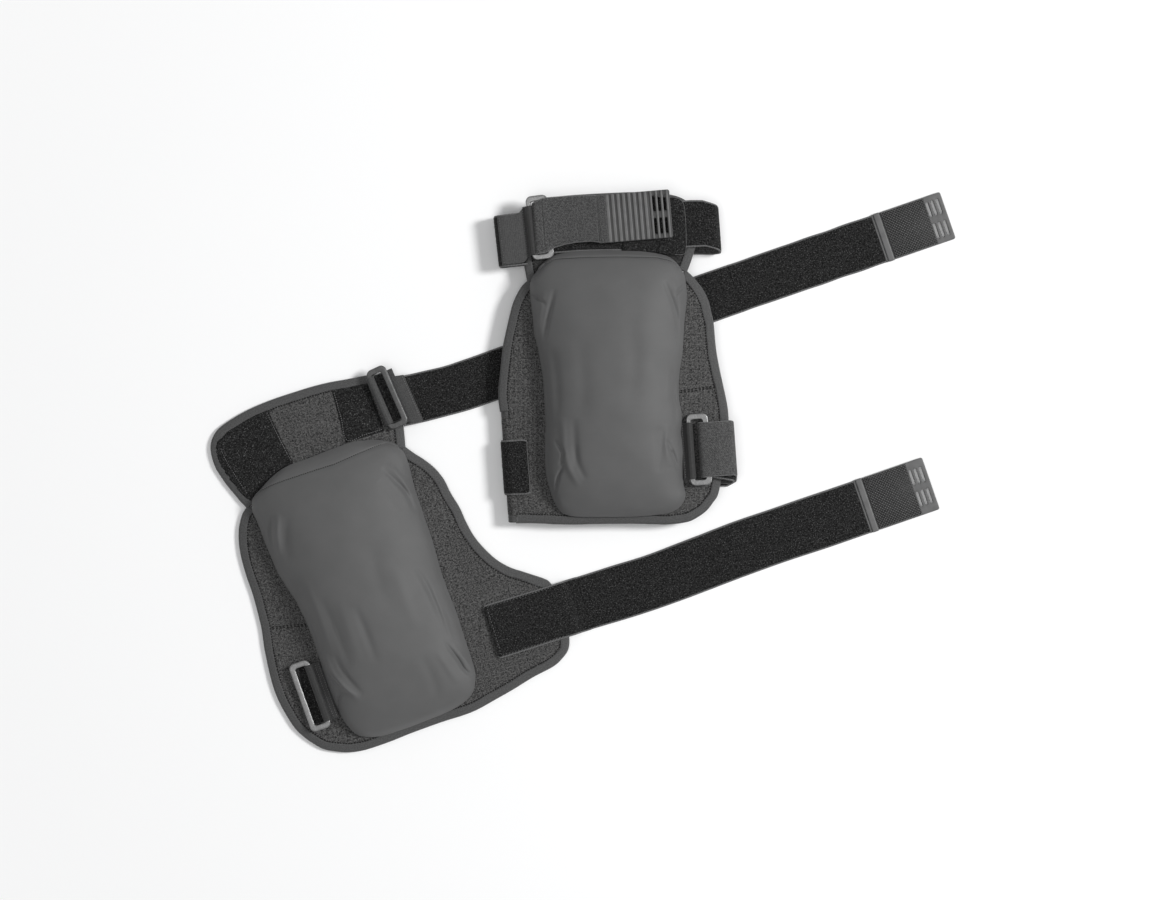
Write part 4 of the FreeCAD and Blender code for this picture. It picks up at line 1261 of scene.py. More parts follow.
def hook_mesh(width):
    """Hook tape: a thin base with rows of small moulded hooks."""
    parts = [rounded_block((HOOK_LENGTH, width - 2.0, HOOK_BASE_T), 0.15, 1,
                           (0.5 + HOOK_LENGTH / 2, 0, HOOK_BASE - HOOK_BASE_T / 2))]
    foot = [(-0.42, -0.34, 0), (0.42, -0.34, 0), (0.42, 0.34, 0), (-0.42, 0.34, 0)]
    head = [(-0.15, -0.26, 0.8), (0.5, -0.26, 0.74), (0.5, 0.26, 0.74), (-0.15, 0.26, 0.8)]
    sides = [[0, 1, 5, 4], [1, 2, 6, 5], [2, 3, 7, 6], [3, 0, 4, 7], [4, 5, 6, 7], [3, 2, 1, 0]]
    for u in np.arange(1.4, HOOK_LENGTH, HOOK_PITCH):
        for v in np.arange(-width / 2 + 1.6, width / 2 - 1.2, HOOK_PITCH):
            parts.append((np.array(foot + head) + np.array([u, v, HOOK_BASE - 0.05]), sides))
    return joined(parts)


def strap_end(prefix, guard, here, width, ribs_up):
    """The moulded bar, the hook tape and the ribbed pull at the end of a strap. A pull that is folded with
    its ribs up has its bar inside the strap's sewn end."""
    over = np.array([1.0, -1.0, -1.0]) if ribs_up else np.array([1.0, 1.0, 1.0])

    def place(points, along=0.0):
        return here.put((points + np.array([along, 0, 0])) * over)

    for mesh, material, part in ((grip_mesh, MOULDED, "grip"), (hook_mesh, HOOKS, "hook_tape")):
        points, faces = mesh(width)
        piece("%s_%s_moulding" % (prefix, part), guard, place(points, BAR_LENGTH), faces, material,
              ["%s_%s" % (prefix, part)], points)
    if ribs_up:
        points, faces = rounded_block((BAR_LENGTH + 0.5, width - 0.4, BAR_T), 0.9,
                                      middle=(BAR_LENGTH / 2 + 0.1, 0, BAR_T / 2))
        piece(prefix + "_bar_sleeve", guard, place(points), faces, STRAP_KNIT, [prefix + "_bar"], points)
        v = np.linspace(-width / 2 + 1.5, width / 2 - 1.5, 40)
        rows = [np.column_stack([np.full(40, at), v, np.full(40, 0.02)]) * over for at in (1.6, 4.2, 6.8)]
        stitches("bar", prefix + "_bar_thread", guard, [upward(row, here) for row in rows], DARK_THREAD,
                 BODY_OF[prefix + "_bar"])
        return
    points, faces = joined([
        rounded_block((BAR_LENGTH - 2.2, width + 0.8, BAR_T), 1.3, 4, (BAR_LENGTH / 2 + 0.9, 0, BAR_T / 2)),
        rounded_block((2.4, width + 0.2, BAR_T * 0.6), 0.7, 3, (1.2, 0, BAR_T * 0.3))])
    piece(prefix + "_bar_moulding", guard, place(points), faces, MOULDED, [prefix + "_bar"], points)


def seam(guard, sheet, points, name):
    """A flat seam across a panel: two rows of thick stitches pulled into the cloth."""
    rows = []
    for shift in (-0.8, 0.8):
        line = smooth(points, 1.6) + [0.0, shift]
        rows.append(upward(np.column_stack([line, sheet.top(line) + 0.05])))
    stitches("seam", name, guard, rows, DARK_THREAD, BODY_OF[guard.name + "_body_panel"])


def sewn_edge(guard, name, centre, width, node):
    """Light stitches round the sewn end of a strap."""
    sewn = slice(2, int(SEWN_LENGTH / RUN_STEP))
    above, reach = np.array([0.0, 0.0, STRAP_T / 2 + 0.05]), width / 2 - 2.2
    side = np.column_stack([left_of(tangents(centre)[:, :2]), np.zeros(len(centre))])
    lines = [centre[sewn] + side[sewn] * across + above for across in (-reach, reach)]
    lines.append(centre[2] + side[2] * np.linspace(-1, 1, 30)[:, None] * reach + above)
    stitches("strap", name, guard, [upward(line) for line in lines], GREY_THREAD, BODY_OF[node])


# ---- the open guard ----

OPEN_UPPER_SPLIT, OPEN_LOWER_SPLIT = (392.0, 176.2), (182.7, -62.0)     # where each strap starts to lift

OPEN_PAD = {
    "outline": [
        (-80, 110), (-83, 100), (-82.5, 97.5), (-80.6, 85), (-79.4, 70), (-77.5, 55), (-75.6, 41),
        (-72.5, 30), (-69.4, 20), (-66, 10), (-64.4, 0), (-62.5, -10), (-60.6, -30), (-60, -50),
        (-59.4, -72), (-58, -90), (-55.6, -101), (-52.5, -110), (-47.5, -119), (-40, -124), (-30, -126.5),
        (-20, -127), (0, -126), (10, -125), (30, -123), (45, -120.5), (57.5, -116), (64, -110.6), (67, -105),
        (70, -95), (70, -80), (69, -60), (68.5, -40), (67, -25), (65, 0), (65, 30), (64, 50), (63, 70),
        (62.5, 80), (63, 100), (62.5, 111), (60, 117.5), (55, 124), (45, 129), (32.5, 132.5), (20, 134.2),
        (0, 133), (-20, 131), (-40, 129.5), (-50, 127), (-60, 122.5), (-71, 115.6),
    ],
    "corners": [(-76, 112), (-50, -117), (62, -113), (57, 121)],
    "creases": [
        ([(-60, 92), (-66, 74), (-70, 54)], 3.2, 1.6), ([(-67, 92), (-73, 72), (-75, 54)], 2.4, -1.6),
        ([(-52, 88), (-60, 66), (-62, 46)], 5.0, -1.2),
        ([(41, 106), (50, 90), (56, 77.5), (59, 58)], 2.2, -1.9),
        ([(47, 108), (55, 92), (60, 76)], 2.6, 1.2), ([(36, 96), (44, 80), (48, 64)], 5.0, -0.8),
        ([(-58, -58), (-53, -67), (-48, -74)], 2.2, -1.7), ([(-56, -40), (-50, -66), (-34, -91)], 3.6, 1.7),
        ([(-46, -44), (-41, -64), (-30, -86)], 3.0, -1.2),
        ([(-47, -78), (-53.5, -84), (-56.5, -92), (-57.5, -101)], 1.5, -2.4),
        ([(-50, -66), (-44, -76), (-36, -87)], 2.6, 1.5),
        ([(-52, 26), (-49, -8), (-47, -44)], 4.6, 1.1), ([(-42, 10), (-37, -30), (-34, -60)], 4.2, -0.8),
        ([(-27, 4), (-26, -30), (-25, -58)], 6.0, 0.8), ([(-15, -6), (-12, -32), (-10, -62)], 4.6, -1.1),
        ([(14, 44), (12, 10), (16, -24)], 8.0, -0.8), ([(28, 20), (30, -10), (32, -44)], 7.0, 0.7),
        ([(47, 10), (53, -16), (57, -44)], 3.0, -1.6), ([(54, -10), (58, -38), (60, -62)], 2.4, 1.1),
        ([(53, -60), (60, -80), (63, -90), (69, -98)], 1.6, -2.6),
        ([(59, -64), (67, -84), (71, -92)], 2.4, 1.2),
        ([(44, -66), (50, -84), (54, -100)], 4.0, 0.9), ([(30, -66), (34, -92), (32, -110)], 6.0, -0.9),
    ],
    "seed": 41,
    "seam_share": 0.955,
    "seam": [(-85, 112), (-72, 115.4), (-60, 117.6), (-50, 118.4), (-20, 119.8), (0, 120.4), (20, 123.3),
             (32.5, 125), (42, 126.2), (50, 127.3), (70, 130)],
}


def add_open_guard():
    guard = OPEN
    body = Sheet(guard, [[
        (-88, 104.3), (-93, 100), (-98, 92), (-101, 85), (-103.5, 75), (-105, 62), (-105, 45), (-103.9, 25),
        (-104.4, 0), (-105.6, -12), (-107, -22), (-108, -35), (-108.7, -48), (-108.7, -60), (-107.5, -72),
        (-104.4, -86), (-100, -100), (-94, -110), (-87.5, -118), (-80, -125), (-70, -130), (-60, -133.5),
        (-50, -135.2), (-40, -135.6), (-20, -134.4), (0, -132.2), (30, -130), (50, -129.4), (63, -128),
        (80, -124), (100, -119), (120, -113.3), (140, -109), (150, -104), (157, -98), (160.5, -89),
        (162.3, -77), (162.5, -65), (161, -50), (157.5, -36), (153, -31), (146.7, -26.7), (136.7, -20),
        (126.7, -13.3), (116.7, -3.3), (108.3, 10), (102.5, 23), (99, 37), (96.7, 52), (92.5, 67), (90, 80),
        (85, 92), (78, 102), (70, 111), (64.3, 118.4),
    ]], [[(64.3, 118.4), (-88, 104.3)]], 21)
    cuff = Sheet(guard, [[
        (64.4, 119.6), (66, 128), (67.5, 137), (69.3, 150), (69.5, 162), (69, 173), (66, 182), (60, 187.3),
        (50, 189.8), (30, 191.5), (15, 193), (0, 193.5), (-20, 193), (-40, 192), (-60, 189.6), (-75, 186.3),
        (-90, 181.5), (-97, 177.5), (-102, 172), (-104.8, 166), (-106, 158), (-105.5, 148), (-104, 142),
        (-100, 130), (-96, 121), (-92, 112), (-88.4, 105.4),
    ]], [[(-88.4, 105.4), (64.4, 119.6)]], 22)
    for end, sheet in (("body", body), ("cuff", cuff)):
        add_panel(guard, end, sheet)
    seam(guard, body, [(-100, -6.5), (-88.7, -8), (-76, -10.2), (-64, -12.6)], "open_side_seam")
    hooks = [(-99.8, 169.8), (-102.6, 160), (-101.8, 149), (-98, 136), (-93.6, 125), (-88.6, 114.5),
             (-84, 109.5), (-73, 116.4), (-60, 124.6), (-50, 128.8), (-36, 132.4), (-39, 147), (-43, 168),
             (-45.8, 185.4), (-58, 183.2), (-71, 180.6), (-86, 175.8), (-93, 172.6)]
    patch("open_hook_patch", guard, hooks, cuff.top, "open_cuff_hook_patch")
    loops = [(14.3, 136.5), (33, 137), (51, 137.5), (49.5, 160), (47.5, 183.4), (30, 185.2), (14.6, 186.4)]
    patch("open_loop_patch", guard, loops, cuff.top, "open_cuff_loop_patch")
    edges = [[(-96.5, 163), (-94.5, 150), (-90, 134), (-84.5, 117)],
             [(-47.4, 183), (-44, 164), (-40, 145), (-37.6, 135)],
             [(16.2, 184), (16.4, 160), (16.2, 138.8), (34, 139.2), (49, 139.8)]]
    for k, points in enumerate(edges):
        line = smooth(points, 1.2)
        row = upward(np.column_stack([line, cuff.top(line) + 1.05]))
        stitches("patch", "open_patch_thread_%d" % k, guard, [row], GREY_THREAD, "root")
    pad(guard, OPEN_PAD)
    add_open_rings(guard, body)
    add_open_straps(guard)


def add_panel(guard, end, sheet, cloth=MESH):
    """One of a guard's two panels, with its liner and its edge tape."""
    name = "%s_%s" % (guard.name, end)
    panel(name + "_mesh", sheet, name + "_panel", name + "_lining", name + "_liner", cloth)
    binding(name + "_tape", sheet, name + "_binding", name + "_tape_thread")


def add_open_rings(guard, body):
    top = OPEN_EDGE_Z + PANEL_T
    at = (*OPEN_UPPER_RING_AT, top + UPPER_RING_LIFT)
    here = Frame(at, 8.0)
    # this ring gets the darker copy of the steel, painted shade
    ring("open_upper_ring_metal", guard, Frame(at, 8.0, 18.0), UPPER_RING, "open_upper_ring", SHADED_RING_METAL)
    over = [(5.0, -2.1, 0), (8.0, -1.8, -0.5), (12.0, -1.8, -2.4), (17.5, -1.8, -6.6), (22.0, -1.8, -8.0),
            (29.0, -2.0, -9.9)]
    keeper("open_upper_webbing", guard, here, 46.0, 1, 21.5, over, "open_upper_ring_keeper")
    tongue = here.put([[3.6, -22.4, 0], [11.8, -22.4, 0], [11.8, 22.4, 0], [3.6, 22.4, 0]])[:, :2]
    patch("open_upper_ring_tongue", guard, tongue, lambda uv: np.full(len(uv), at[2] - 1.2),
          "open_upper_ring_keeper", covers=False)
    here = Frame((*OPEN_LOWER_RING_AT, top + LOWER_RING_LIFT), 4.0, -9.0, True)
    ring("open_lower_ring_metal", guard, here, LOWER_RING, "open_lower_ring")
    over = [(4.6, -1.9, 0), (6.0, -1.8, 0), (10.6, -2.4, 0)]
    # the webbing round this bar is the darker copy, painted shade
    keeper("open_lower_webbing", guard, here, 53.5, -1, 8.4, over, "open_lower_ring_keeper", SHADED_WEBBING)
    # a patch of black pile under the ring's slot, put there as painted shade in the slot
    slot_shade = [(-86.5, -100.5), (-67, -102), (-64.2, -49), (-82.6, -47.6)]
    patch("open_lower_ring_backing", guard, slot_shade, body.top, "open_lower_ring_keeper", covers=False)


def add_open_straps(guard):
    top = OPEN_EDGE_Z + PANEL_T
    under_ring = top + UPPER_RING_LIFT - 3.65 - 0.2 - STRAP_T / 2
    sewn = flat_run([(70.6, 159.6), (85, 158.7), (100.6, 158.1), (125, 157.6), (158, 159.5), (190, 162.1),
                     (250, 166.4), (310, 170.7), (365, 174.5), OPEN_UPPER_SPLIT], under_ring, 7.5)
    strap("open_upper_strap_sewn", guard, sewn, "open_upper_strap_root", UPPER_STRAP, 31)
    free = flat_run([OPEN_UPPER_SPLIT, (420, 177.9), (475, 181.1), (530, 184.3)])
    strap("open_upper_strap_free", guard, free, "open_upper_strap_end", UPPER_STRAP, 32,
          bend=("root", "open_upper_strap_body", (*OPEN_UPPER_SPLIT, 0.0), (404.0, 176.9, 0.0)))
    strap_end("open_upper", guard, Frame((530.15, 184.3, 0.0), 3.36), UPPER_STRAP, False)
    sewn = flat_run([(94.5, -64.3), (130, -63.4), (165, -62.4), (182.6, -62.0)], top + 1.75, 71.5)
    strap("open_lower_strap_sewn", guard, sewn, "open_lower_strap_root", LOWER_STRAP, 33,
          shape=round_end(1.6))
    sewn_edge(guard, "open_lower_strap_seam", sewn[0], LOWER_STRAP, "open_lower_strap_root")
    free = flat_run([(182.6, -62), (215, -61.2), (250.7, -60), (293, -56.4), (335.5, -52.5), (375, -50.1),
                     (414.4, -48.1), (449.3, -46.1)])
    strap("open_lower_strap_free", guard, free, "open_lower_strap_end", LOWER_STRAP, 34,
          bend=("root", "open_lower_strap_body", (*OPEN_LOWER_SPLIT, 0.0), (195.0, -61.7, 0.0)))
    strap_end("open_lower", guard, Frame((449.45, -46.1, 0.0), 3.4), LOWER_STRAP, False)


# ---- the closed guard ----

CLOSED_PAD = {
    "outline": [
        (-78.5, 96), (-79.7, 90), (-78.8, 77.7), (-77, 62), (-75.4, 47), (-72.3, 34.6), (-70, 22),
        (-67.7, 7), (-67, -4), (-66, -19), (-65.4, -36), (-66, -50), (-65.8, -67), (-64.6, -81),
        (-61.5, -93), (-58.5, -101.5), (-53.8, -110), (-47.7, -114.6), (-34, -116.6), (0, -116.6),
        (20, -116), (40, -114), (50, -110.8), (56, -105.4), (59, -97.7), (57, -88.5), (56.6, -73), (57, -61),
        (56, -50), (54.6, -41), (55.4, -27), (53, -11.5), (52.6, 1), (53.8, 16), (56, 30), (57, 45),
        (57.7, 58), (59, 70), (60, 82), (59, 94.6), (57, 102), (52, 109), (44.6, 115.4), (34, 118.5),
        (20, 120.8), (0, 121.5), (-20, 121.5), (-40, 120.8), (-50, 119), (-60, 116), (-69, 109),
        (-75.4, 101),
    ],
    "corners": [(-72, 106), (-56, -107), (53, -108.5), (54, 107)],
    "creases": [
        ([(-80, 83), (-73, 79), (-66, 73)], 1.5, -2.4), ([(-58, 88), (-64, 62), (-68, 40)], 2.6, -1.8),
        ([(-67, 86), (-72, 62), (-73, 44)], 3.0, 1.3),
        ([(40, 95), (47, 78), (52, 60), (53, 38)], 2.4, -1.9), ([(47, 97), (54, 78), (57, 60)], 2.6, 1.1),
        ([(60, 92), (55, 87), (50, 81)], 1.4, -1.8),
        ([(-58, -48), (-51, -60), (-53, -72)], 1.8, -2.2),
        ([(-50, -71), (-55, -82), (-58.5, -97)], 1.5, -2.4),
        ([(-50, -56), (-45, -74), (-36, -90)], 3.4, 1.3), ([(-40, -52), (-37, -70), (-30, -84)], 3.2, -1.2),
        ([(-51, -28), (-50, -48), (-49, -66)], 3.6, 1.0), ([(-41, -28), (-40, -54), (-40, -76)], 4.0, -1.2),
        ([(-60, 34), (-56, 0), (-56, -32)], 4.6, -1.1), ([(-36, 44), (-32, 0), (-34, -30)], 8.0, -0.8),
        ([(42, -48), (48, -60), (54, -78)], 1.8, -2.2), ([(36, -36), (36, -58), (35, -78)], 4.4, -1.0),
        ([(43, -34), (42, -54), (45, -72)], 3.0, 1.1), ([(48, 14), (50, -12), (51, -36)], 3.2, -1.3),
        ([(54, 4), (54, -20), (54, -40)], 2.4, 0.8), ([(10, 64), (14, 20), (10, -24)], 9.0, -0.8),
    ],
    "seed": 43,
    "seam_share": 0.965,
    "seam": [(-90, 110), (-66, 111), (-58, 114.2), (-30, 115.6), (0, 116), (34, 115.6), (44, 113.4),
             (60, 110)],
}
WING_LENGTH = 101.0
WING_UNDER = 46.0      # how far the folded wing reaches back under the guard
WING_Z = 2.6           # height of its underside there
WING_HEADING = 4.0
WING = Frame((-96.0, -72.0, 0.0), WING_HEADING)
CLOSED_LOWER_END = (127.95, 1.0, 0.0)   # where the lower strap's pull starts, in the wing's frame
FLAP_LIFT, FLAP_SLOPE = 7.1, 0.04       # of the cuff's folded flap above the panel, and its fall across


def add_closed_guard():
    guard = CLOSED
    body = Sheet(guard, [
        [(-82.3, 95.4), (-87.7, 90), (-92.3, 82), (-96, 73), (-99, 61), (-101.5, 50), (-104, 38),
         (-105.4, 27), (-107, 11.5), (-108.3, -1), (-108.4, -11.5), (-107.2, -21)],
        [(-91.6, -122.6), (-80, -122.6), (-70, -122.9), (-58.5, -123.5), (-40, -123.8), (-20, -123.3),
         (11, -123), (31, -123.5), (46, -123.6), (61.5, -121.5), (70, -117.7), (78.5, -111.5),
         (84.6, -103.8), (88.5, -97.7), (91.5, -85), (94, -72), (95.8, -58), (97.2, -45), (98.2, -33),
         (97.7, -22), (96, -11.5), (93, 2.3), (90, 16), (87.4, 30), (86, 42), (84.6, 57.7), (82.3, 68.5),
         (80, 77.7), (75.4, 87), (71, 93), (66, 99), (60.9, 103.7)],
    ], [[(-107.2, -21), (-100.4, -21.3), (-93.6, -122.2)], [(60.9, 103.7), (-82.3, 95.4)]], 23)
    cuff = Sheet(guard, [[
        (60.9, 104.9), (64, 113), (68, 126), (70.2, 137), (70.2, 148), (67.5, 158), (62, 166), (52, 171.5),
        (35, 174.6), (15, 175.2), (0, 174.8), (-25, 173.6), (-50, 171.8), (-64, 169.5), (-76, 164),
        (-83.5, 156), (-86.6, 144), (-87.6, 130), (-87, 119), (-85.2, 110), (-82.6, 96.6),
    ]], [[(-82.6, 96.6), (60.9, 104.9)]], 24)
    add_panel(guard, "body", body)
    # the cuff gets the darker copy of the mesh as painted shade
    add_panel(guard, "cuff", cuff, SHADED_MESH)
    seam(guard, body, [(54.5, -4.6), (63, -3.4), (72, -2.2), (81.5, -0.8), (90, 0.4)], "closed_side_seam")
    pad(guard, CLOSED_PAD)
    add_wing(guard)
    patch("closed_loop_patch", guard, [(-44, 125), (-18, 126.5), (-18, 156.5), (-44, 155.5)], cuff.top,
          "closed_cuff_loop_patch")
    add_flap(guard)
    add_closed_straps(guard)
    add_closed_rings(guard)


def add_flap(guard):
    """The hook patch on the cuff's folded flap, with close stitches round its rim."""
    def height(uv):
        return CLOSED_EDGE_Z + PANEL_T + FLAP_LIFT - (uv[:, 0] - 10) * FLAP_SLOPE

    flap = [(2, 121.6), (20, 121.4), (34, 120.4), (45, 118.9), (57.5, 118.6), (60.4, 121), (60.8, 134),
            (60.2, 150), (59.2, 161), (57.6, 166.5), (54, 169.8), (48, 171.2), (30, 171.2), (10, 171),
            (4, 155), (3, 138)]
    patch("closed_hook_patch", guard, flap, height, "closed_cuff_hook_patch", thickness=1.2)
    edge = smooth([(50, 118.9), (57.3, 119.2), (59.9, 121.6), (60.3, 134), (59.7, 150), (58.7, 161),
                   (57.1, 166), (53.8, 169.2), (47, 170.7), (36, 170.8)], 0.9)
    rim = upward(np.column_stack([edge, height(edge) + 1.0]))
    stitches("flap", "closed_hook_patch_thread", guard, [rim], GREY_THREAD,
             BODY_OF["closed_cuff_hook_patch"])


def wing_section(low, high):
    """Points across the wing's cloth, as (across, -1 for its lower face to 1 for its upper)."""
    count = max(6, int((high - low) / 2.6))
    across = np.linspace(high - 1.0, low + 1.0, count)
    section = [(-high, 0.0), (-high + 0.3, 0.55)] + [(-v, 1.0) for v in across]
    section += [(-low - 0.3, 0.55), (-low, 0.0), (-low - 0.3, -0.55)]
    section += [(-v, -1.0) for v in across[::-1]] + [(-high + 0.3, -0.55)]
    return section[::-1]


def add_wing(guard):
    """The part of the body panel that is folded under along the left, with tape on its two ends."""
    lip, under = CLOSED_EDGE_Z + PANEL_T / 2, WING_Z + PANEL_T / 2
    bend = (lip - under) / 2
    fold = -bend - 0.9
    line = route([(1.2, lip), (fold, lip), (fold, under), (WING_UNDER, under)], [bend - 0.01] * 2, 1.3)
    middle = np.column_stack([line[:, 0], np.zeros(len(line)), line[:, 1]])
    side = np.tile([[0.0, -1.0, 0.0]], (len(line), 1))
    end = WING_LENGTH / 2
    for name, low, high, tape in (("closed_wing_mesh", -end + 2, end - 2, False),
                                  ("closed_wing_lower_tape", -end - 0.4, -end + 6.5, True),
                                  ("closed_wing_upper_tape", end - 6.5, end + 0.4, True)):

        def shift(k, x, y, lengths):
            if tape:
                return x, y * (0.72 * PANEL_T / 2 + 0.5)
            from_end = min(abs(x + high), abs(x + low))
            return x, y * PANEL_T / 2 * (1.0 - 0.3 * (1 - step_up(from_end / PINCH)))

        points, faces, place = sweep(middle, side, wing_section(low, high), shift)
        points = WING.put(points)
        share = np.clip((points[:, 2] - under) / (lip - under), 0, 1)
        points[:, 2] += (guard.base(points[:, :2]) - CLOSED_EDGE_Z) * share
        made = piece(name, guard, points, faces, TAPE if tape else MESH, [] if tape else ["closed_wing"],
                     place, body="closed_guard_body")


def add_closed_straps(guard):
    run = upright_run(
        [(14, 20.7), (1.5, 18.6), (-8.75, 18.6), (-8.75, 1.1), (48.2, 1.1), (62.2, 5.4), (198.2, 5.4),
         (198.2, 19.9), (184.8, 20.33), (169.5, 20.33), (169.5, 26.13), (185.8, 26.13), (200.7, 22.5),
         (200.7, 1.1), (128, 1.1)],
        [8, 8.75, 8.75, 10, 20, 6, 5.5, 10, 2.9, 2.9, 12, 5, 5], WING, 1.0)
    knots = [0, 0.004, 0.01, 0.09, 0.25, 0.5, 0.59, 0.66, 0.69, 0.77, 0.8, 0.84, 1.0]
    shifts = np.array([2.2, 2.2, 2.2, 1.5, 0, 1, 6, -1, -2, -2, 1, 8, 0])
    rounding = np.array([-1.4, -0.5, 0] + [0] * 10)
    strap("closed_lower_strap_cloth", guard, run, "closed_lower_strap", LOWER_STRAP, 35,
          shape=edges_at(knots, rounding + shifts, rounding - shifts))
    end = Frame(WING.put([CLOSED_LOWER_END])[0], WING_HEADING, 0.0, True)
    strap_end("closed_lower", guard, end, LOWER_STRAP, False)
    run = upright_run([(-86, 18.8), (-110.9, 18.8), (-110.9, 1.1), (-1.65, 1.1)], [7, 7],
                      Frame((0.0, 143.5, 0.0), 6.5))
    strap("closed_upper_strap_left", guard, run, "closed_upper_strap_root", 47.0, 36)
    run = upright_run(
        [(0, 1.1), (90, 1.1), (90, 18.4), (75, 19.2), (-6, 22.8), (-40, 22.2), (-57, 19.94),
         (-76.3, 19.94), (-76.3, 25.74), (-68.19, 25.74)],
        [8, 7, 20, 60, 30, 20, 2.9, 2.9], Frame((0.0, 142.6, 0.0), 4.0))
    front = edges_at([0, 0.15, 0.30, 0.345, 0.41, 0.45, 0.61, 0.82, 0.94, 0.965, 1.0],
                     [-0.9, 4, 7, 7, 0.5, 0, 0, -2.7, -2.6, -2.6, -3.1],
                     [0.9, -4, -7, -7, -0.5, 0, 0, 2.7, 5.0, 6.5, 10.4])
    strap("closed_upper_strap_front", guard, run, "closed_upper_strap", 42.0, 37, shape=front)
    back = Frame((0.0, 151.3, 0.0), 4.0)
    run = upright_run([(CLOSED_PEEL_U, CLOSED_PEEL_Z), (-60.6, 25.84), (-20, 29.54), (-19.4, 29.6)], [40, 40],
                      back)
    start, stop = back.put([[CLOSED_PEEL_U, 0.0, CLOSED_PEEL_Z], [-60.0, 0.0, CLOSED_PEEL_Z]])
    tail = edges_at([0, 0.056, 0.13, 0.21, 0.38, 0.58, 0.85, 1.0],
                    [4.8, 3.7, 1.8, 0.3, -1.5, -2.4, -2.2, -0.6], [1.0, 1.6, 1.7, 1.7, 1.6, 1.3, 1.0, 0.6])
    strap("closed_upper_strap_back", guard, run, "closed_upper_strap_tail", 43.5, 38,
          bend=("closed_guard_body", "closed_upper_tail_body", start, stop), shape=tail)
    strap_end("closed_upper", guard, Frame(back.put([[-19.5, 0.0, 30.64]])[0], 5.0, -1.5), 43.5, True)


def add_closed_rings(guard):
    top = CLOSED_EDGE_Z + PANEL_T
    ring("closed_upper_ring_metal", guard, Frame((-79.5, 142.5, top + 5.6), 7.0, 3.5), UPPER_RING,
         "closed_upper_ring")
    over = [(4.6, -1.35, -1.5), (7.0, -1.3, -4.2), (9.6, -1.3, -6.6), (12.5, -1.3, -7.2), (24.4, -1.3, -7.2),
            (26.7, -1.6, -7.2), (28.2, -2.2, -7.2), (29.2, -2.8, -7.2)]
    # the roll round the bar is the darker copy of the webbing, painted shade, and the tab the plain webbing
    keeper("closed_upper_webbing", guard, Frame((-79.5, 142.0, top + 5.6), 6.5), 44.5, -1, 5.9, over,
           "closed_upper_ring_keeper", SHADED_WEBBING, WEBBING)
    ring("closed_lower_ring_metal", guard, Frame((64.0, -57.3, top + 8.0), 4.0, -4.0), LOWER_RING,
         "closed_lower_ring")
    over = [(4.4, -1.9, 0), (5.2, -1.8, 0), (7.4, -1.8, 0)]
    # the webbing round this bar is the darker copy, painted shade
    keeper("closed_lower_webbing", guard, Frame((64.0, -58.0, top + 8.0), 4.0, -4.0), 51.0, -1, 6.0, over,
           "closed_lower_ring_keeper", SHADED_WEBBING)


# ---- what lies inside the pads ----

def colour_inner_parts():
    shell_plastic = inner_plastic("armour_shell_plastic", "armour", 0.05, 2.0)
    cushion_foam = inner_plastic("pad_foam_foam", "foam", 0.12, 1.0)
    for name in ("open", "closed"):
        for node, material in (("_armour_shell", shell_plastic), ("_pad_foam", cushion_foam)):
            mesh = frame["nodes"][name + node].data
            mesh.materials.clear()
            mesh.materials.append(material)


# ---- floor, lights and camera ----

FLOOR_REACH = 4.0
FLOOR_FADE = (0.4, 1.3)         # distances over which the floor turns into the white backdrop
WORLD_FILL = 0.32
CAMERA_AT, CAMERA_LENS = (-0.0031, 0.0200, 2.5), 85.3


def backdrop_rays(tree):
    """1 for the camera's rays and those that gloss and glass send on, which see the white backdrop."""
    kinds = shader_node(tree, "LightPath").outputs
    bright = kinds["Is Camera Ray"]
    for kind in ("Is Glossy Ray", "Is Transmission Ray"):
        bright = shader_node(tree, "Math", {0: bright, 1: kinds[kind]}, operation="MAXIMUM").outputs[0]
    return bright


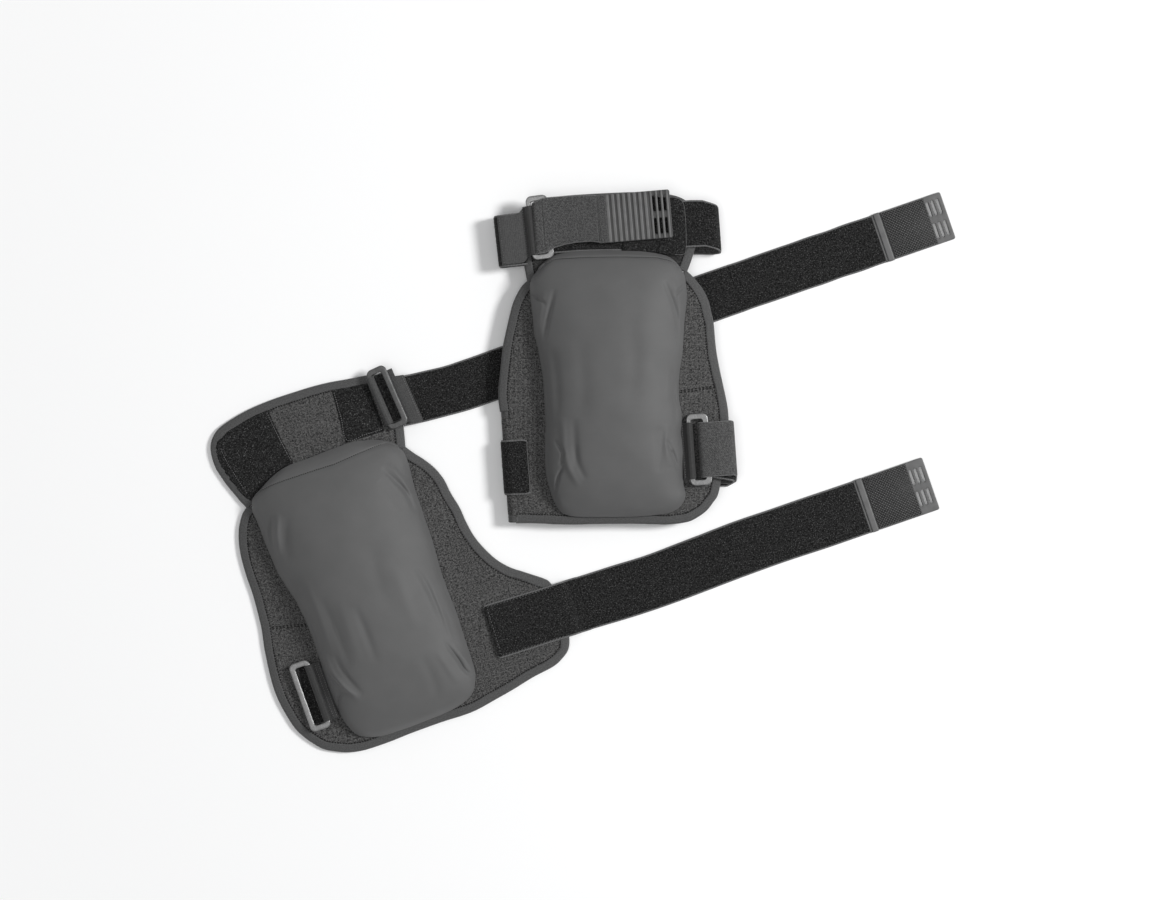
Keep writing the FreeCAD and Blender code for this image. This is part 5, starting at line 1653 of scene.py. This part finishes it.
def add_floor():
    mesh = bpy.data.meshes.new("floor")
    r = FLOOR_REACH
    mesh.from_pydata([(-r, -r, 0), (r, -r, 0), (r, r, 0), (-r, r, 0)], [], [(0, 1, 2, 3)])
    material = bpy.data.materials.new("floor_paint")
    material.use_nodes = True
    mesh.materials.append(material)
    tree = material.node_tree
    paint = tree.nodes["Principled BSDF"]
    paint.inputs["Base Color"].default_value = (0.97, 0.97, 0.97, 1)
    paint.inputs["Roughness"].default_value = 0.9
    paint.inputs["Specular IOR Level"].default_value = 0.1
    place = shader_node(tree, "TexCoord").outputs["Object"]
    away = shader_node(tree, "VectorMath", {0: place}, operation="LENGTH").outputs["Value"]
    fade = smooth_range(tree, away, *FLOOR_FADE)
    share = shader_node(tree, "Math", {0: fade, 1: backdrop_rays(tree)}, operation="MULTIPLY").outputs[0]
    white = shader_node(tree, "Emission").outputs[0]
    choose = shader_node(tree, "MixShader", {"Fac": share, 1: paint.outputs[0], 2: white})
    tree.links.new(choose.outputs[0], tree.nodes["Material Output"].inputs["Surface"])
    floor = bpy.data.objects.new("floor", mesh)
    bpy.context.scene.collection.objects.link(floor)
    floor.location.z = -0.0004


def area_light(name, place, size, power):
    data = bpy.data.lights.new(name, "AREA")
    data.shape = "DISK"
    data.size = size
    data.energy = power
    light = bpy.data.objects.new(name, data)
    light.location = place
    light.rotation_euler = (-Vector(place)).to_track_quat("-Z", "Y").to_euler()
    bpy.context.scene.collection.objects.link(light)


def add_world():
    world = bpy.data.worlds.new("studio")
    bpy.context.scene.world = world
    world.use_nodes = True
    tree = world.node_tree
    tree.nodes.clear()
    fill_light = shader_node(tree, "Background", {"Color": (0.98, 0.99, 1.0, 1), "Strength": WORLD_FILL})
    backdrop = shader_node(tree, "Background", {"Color": (1, 1, 1, 1), "Strength": 1.0})
    choose = shader_node(tree, "MixShader", {"Fac": backdrop_rays(tree), 1: fill_light.outputs[0],
                                             2: backdrop.outputs[0]})
    shader_node(tree, "OutputWorld", {"Surface": choose.outputs[0]})


def add_camera():
    data = bpy.data.cameras.new("camera")
    data.sensor_width = 36.0
    data.lens = CAMERA_LENS
    camera = bpy.data.objects.new("camera", data)
    camera.location = CAMERA_AT
    bpy.context.scene.collection.objects.link(camera)
    bpy.context.scene.camera = camera


add_open_guard()
add_closed_guard()
colour_inner_parts()
add_floor()
add_world()
area_light("key", (3.3, 0.9, 3.0), 1.1, 168.0)
area_light("top", (-0.5, -0.3, 3.4), 2.2, 28.0)
add_camera()
bpy.context.scene.view_settings.view_transform = "Standard"
bpy.context.view_layer.update()
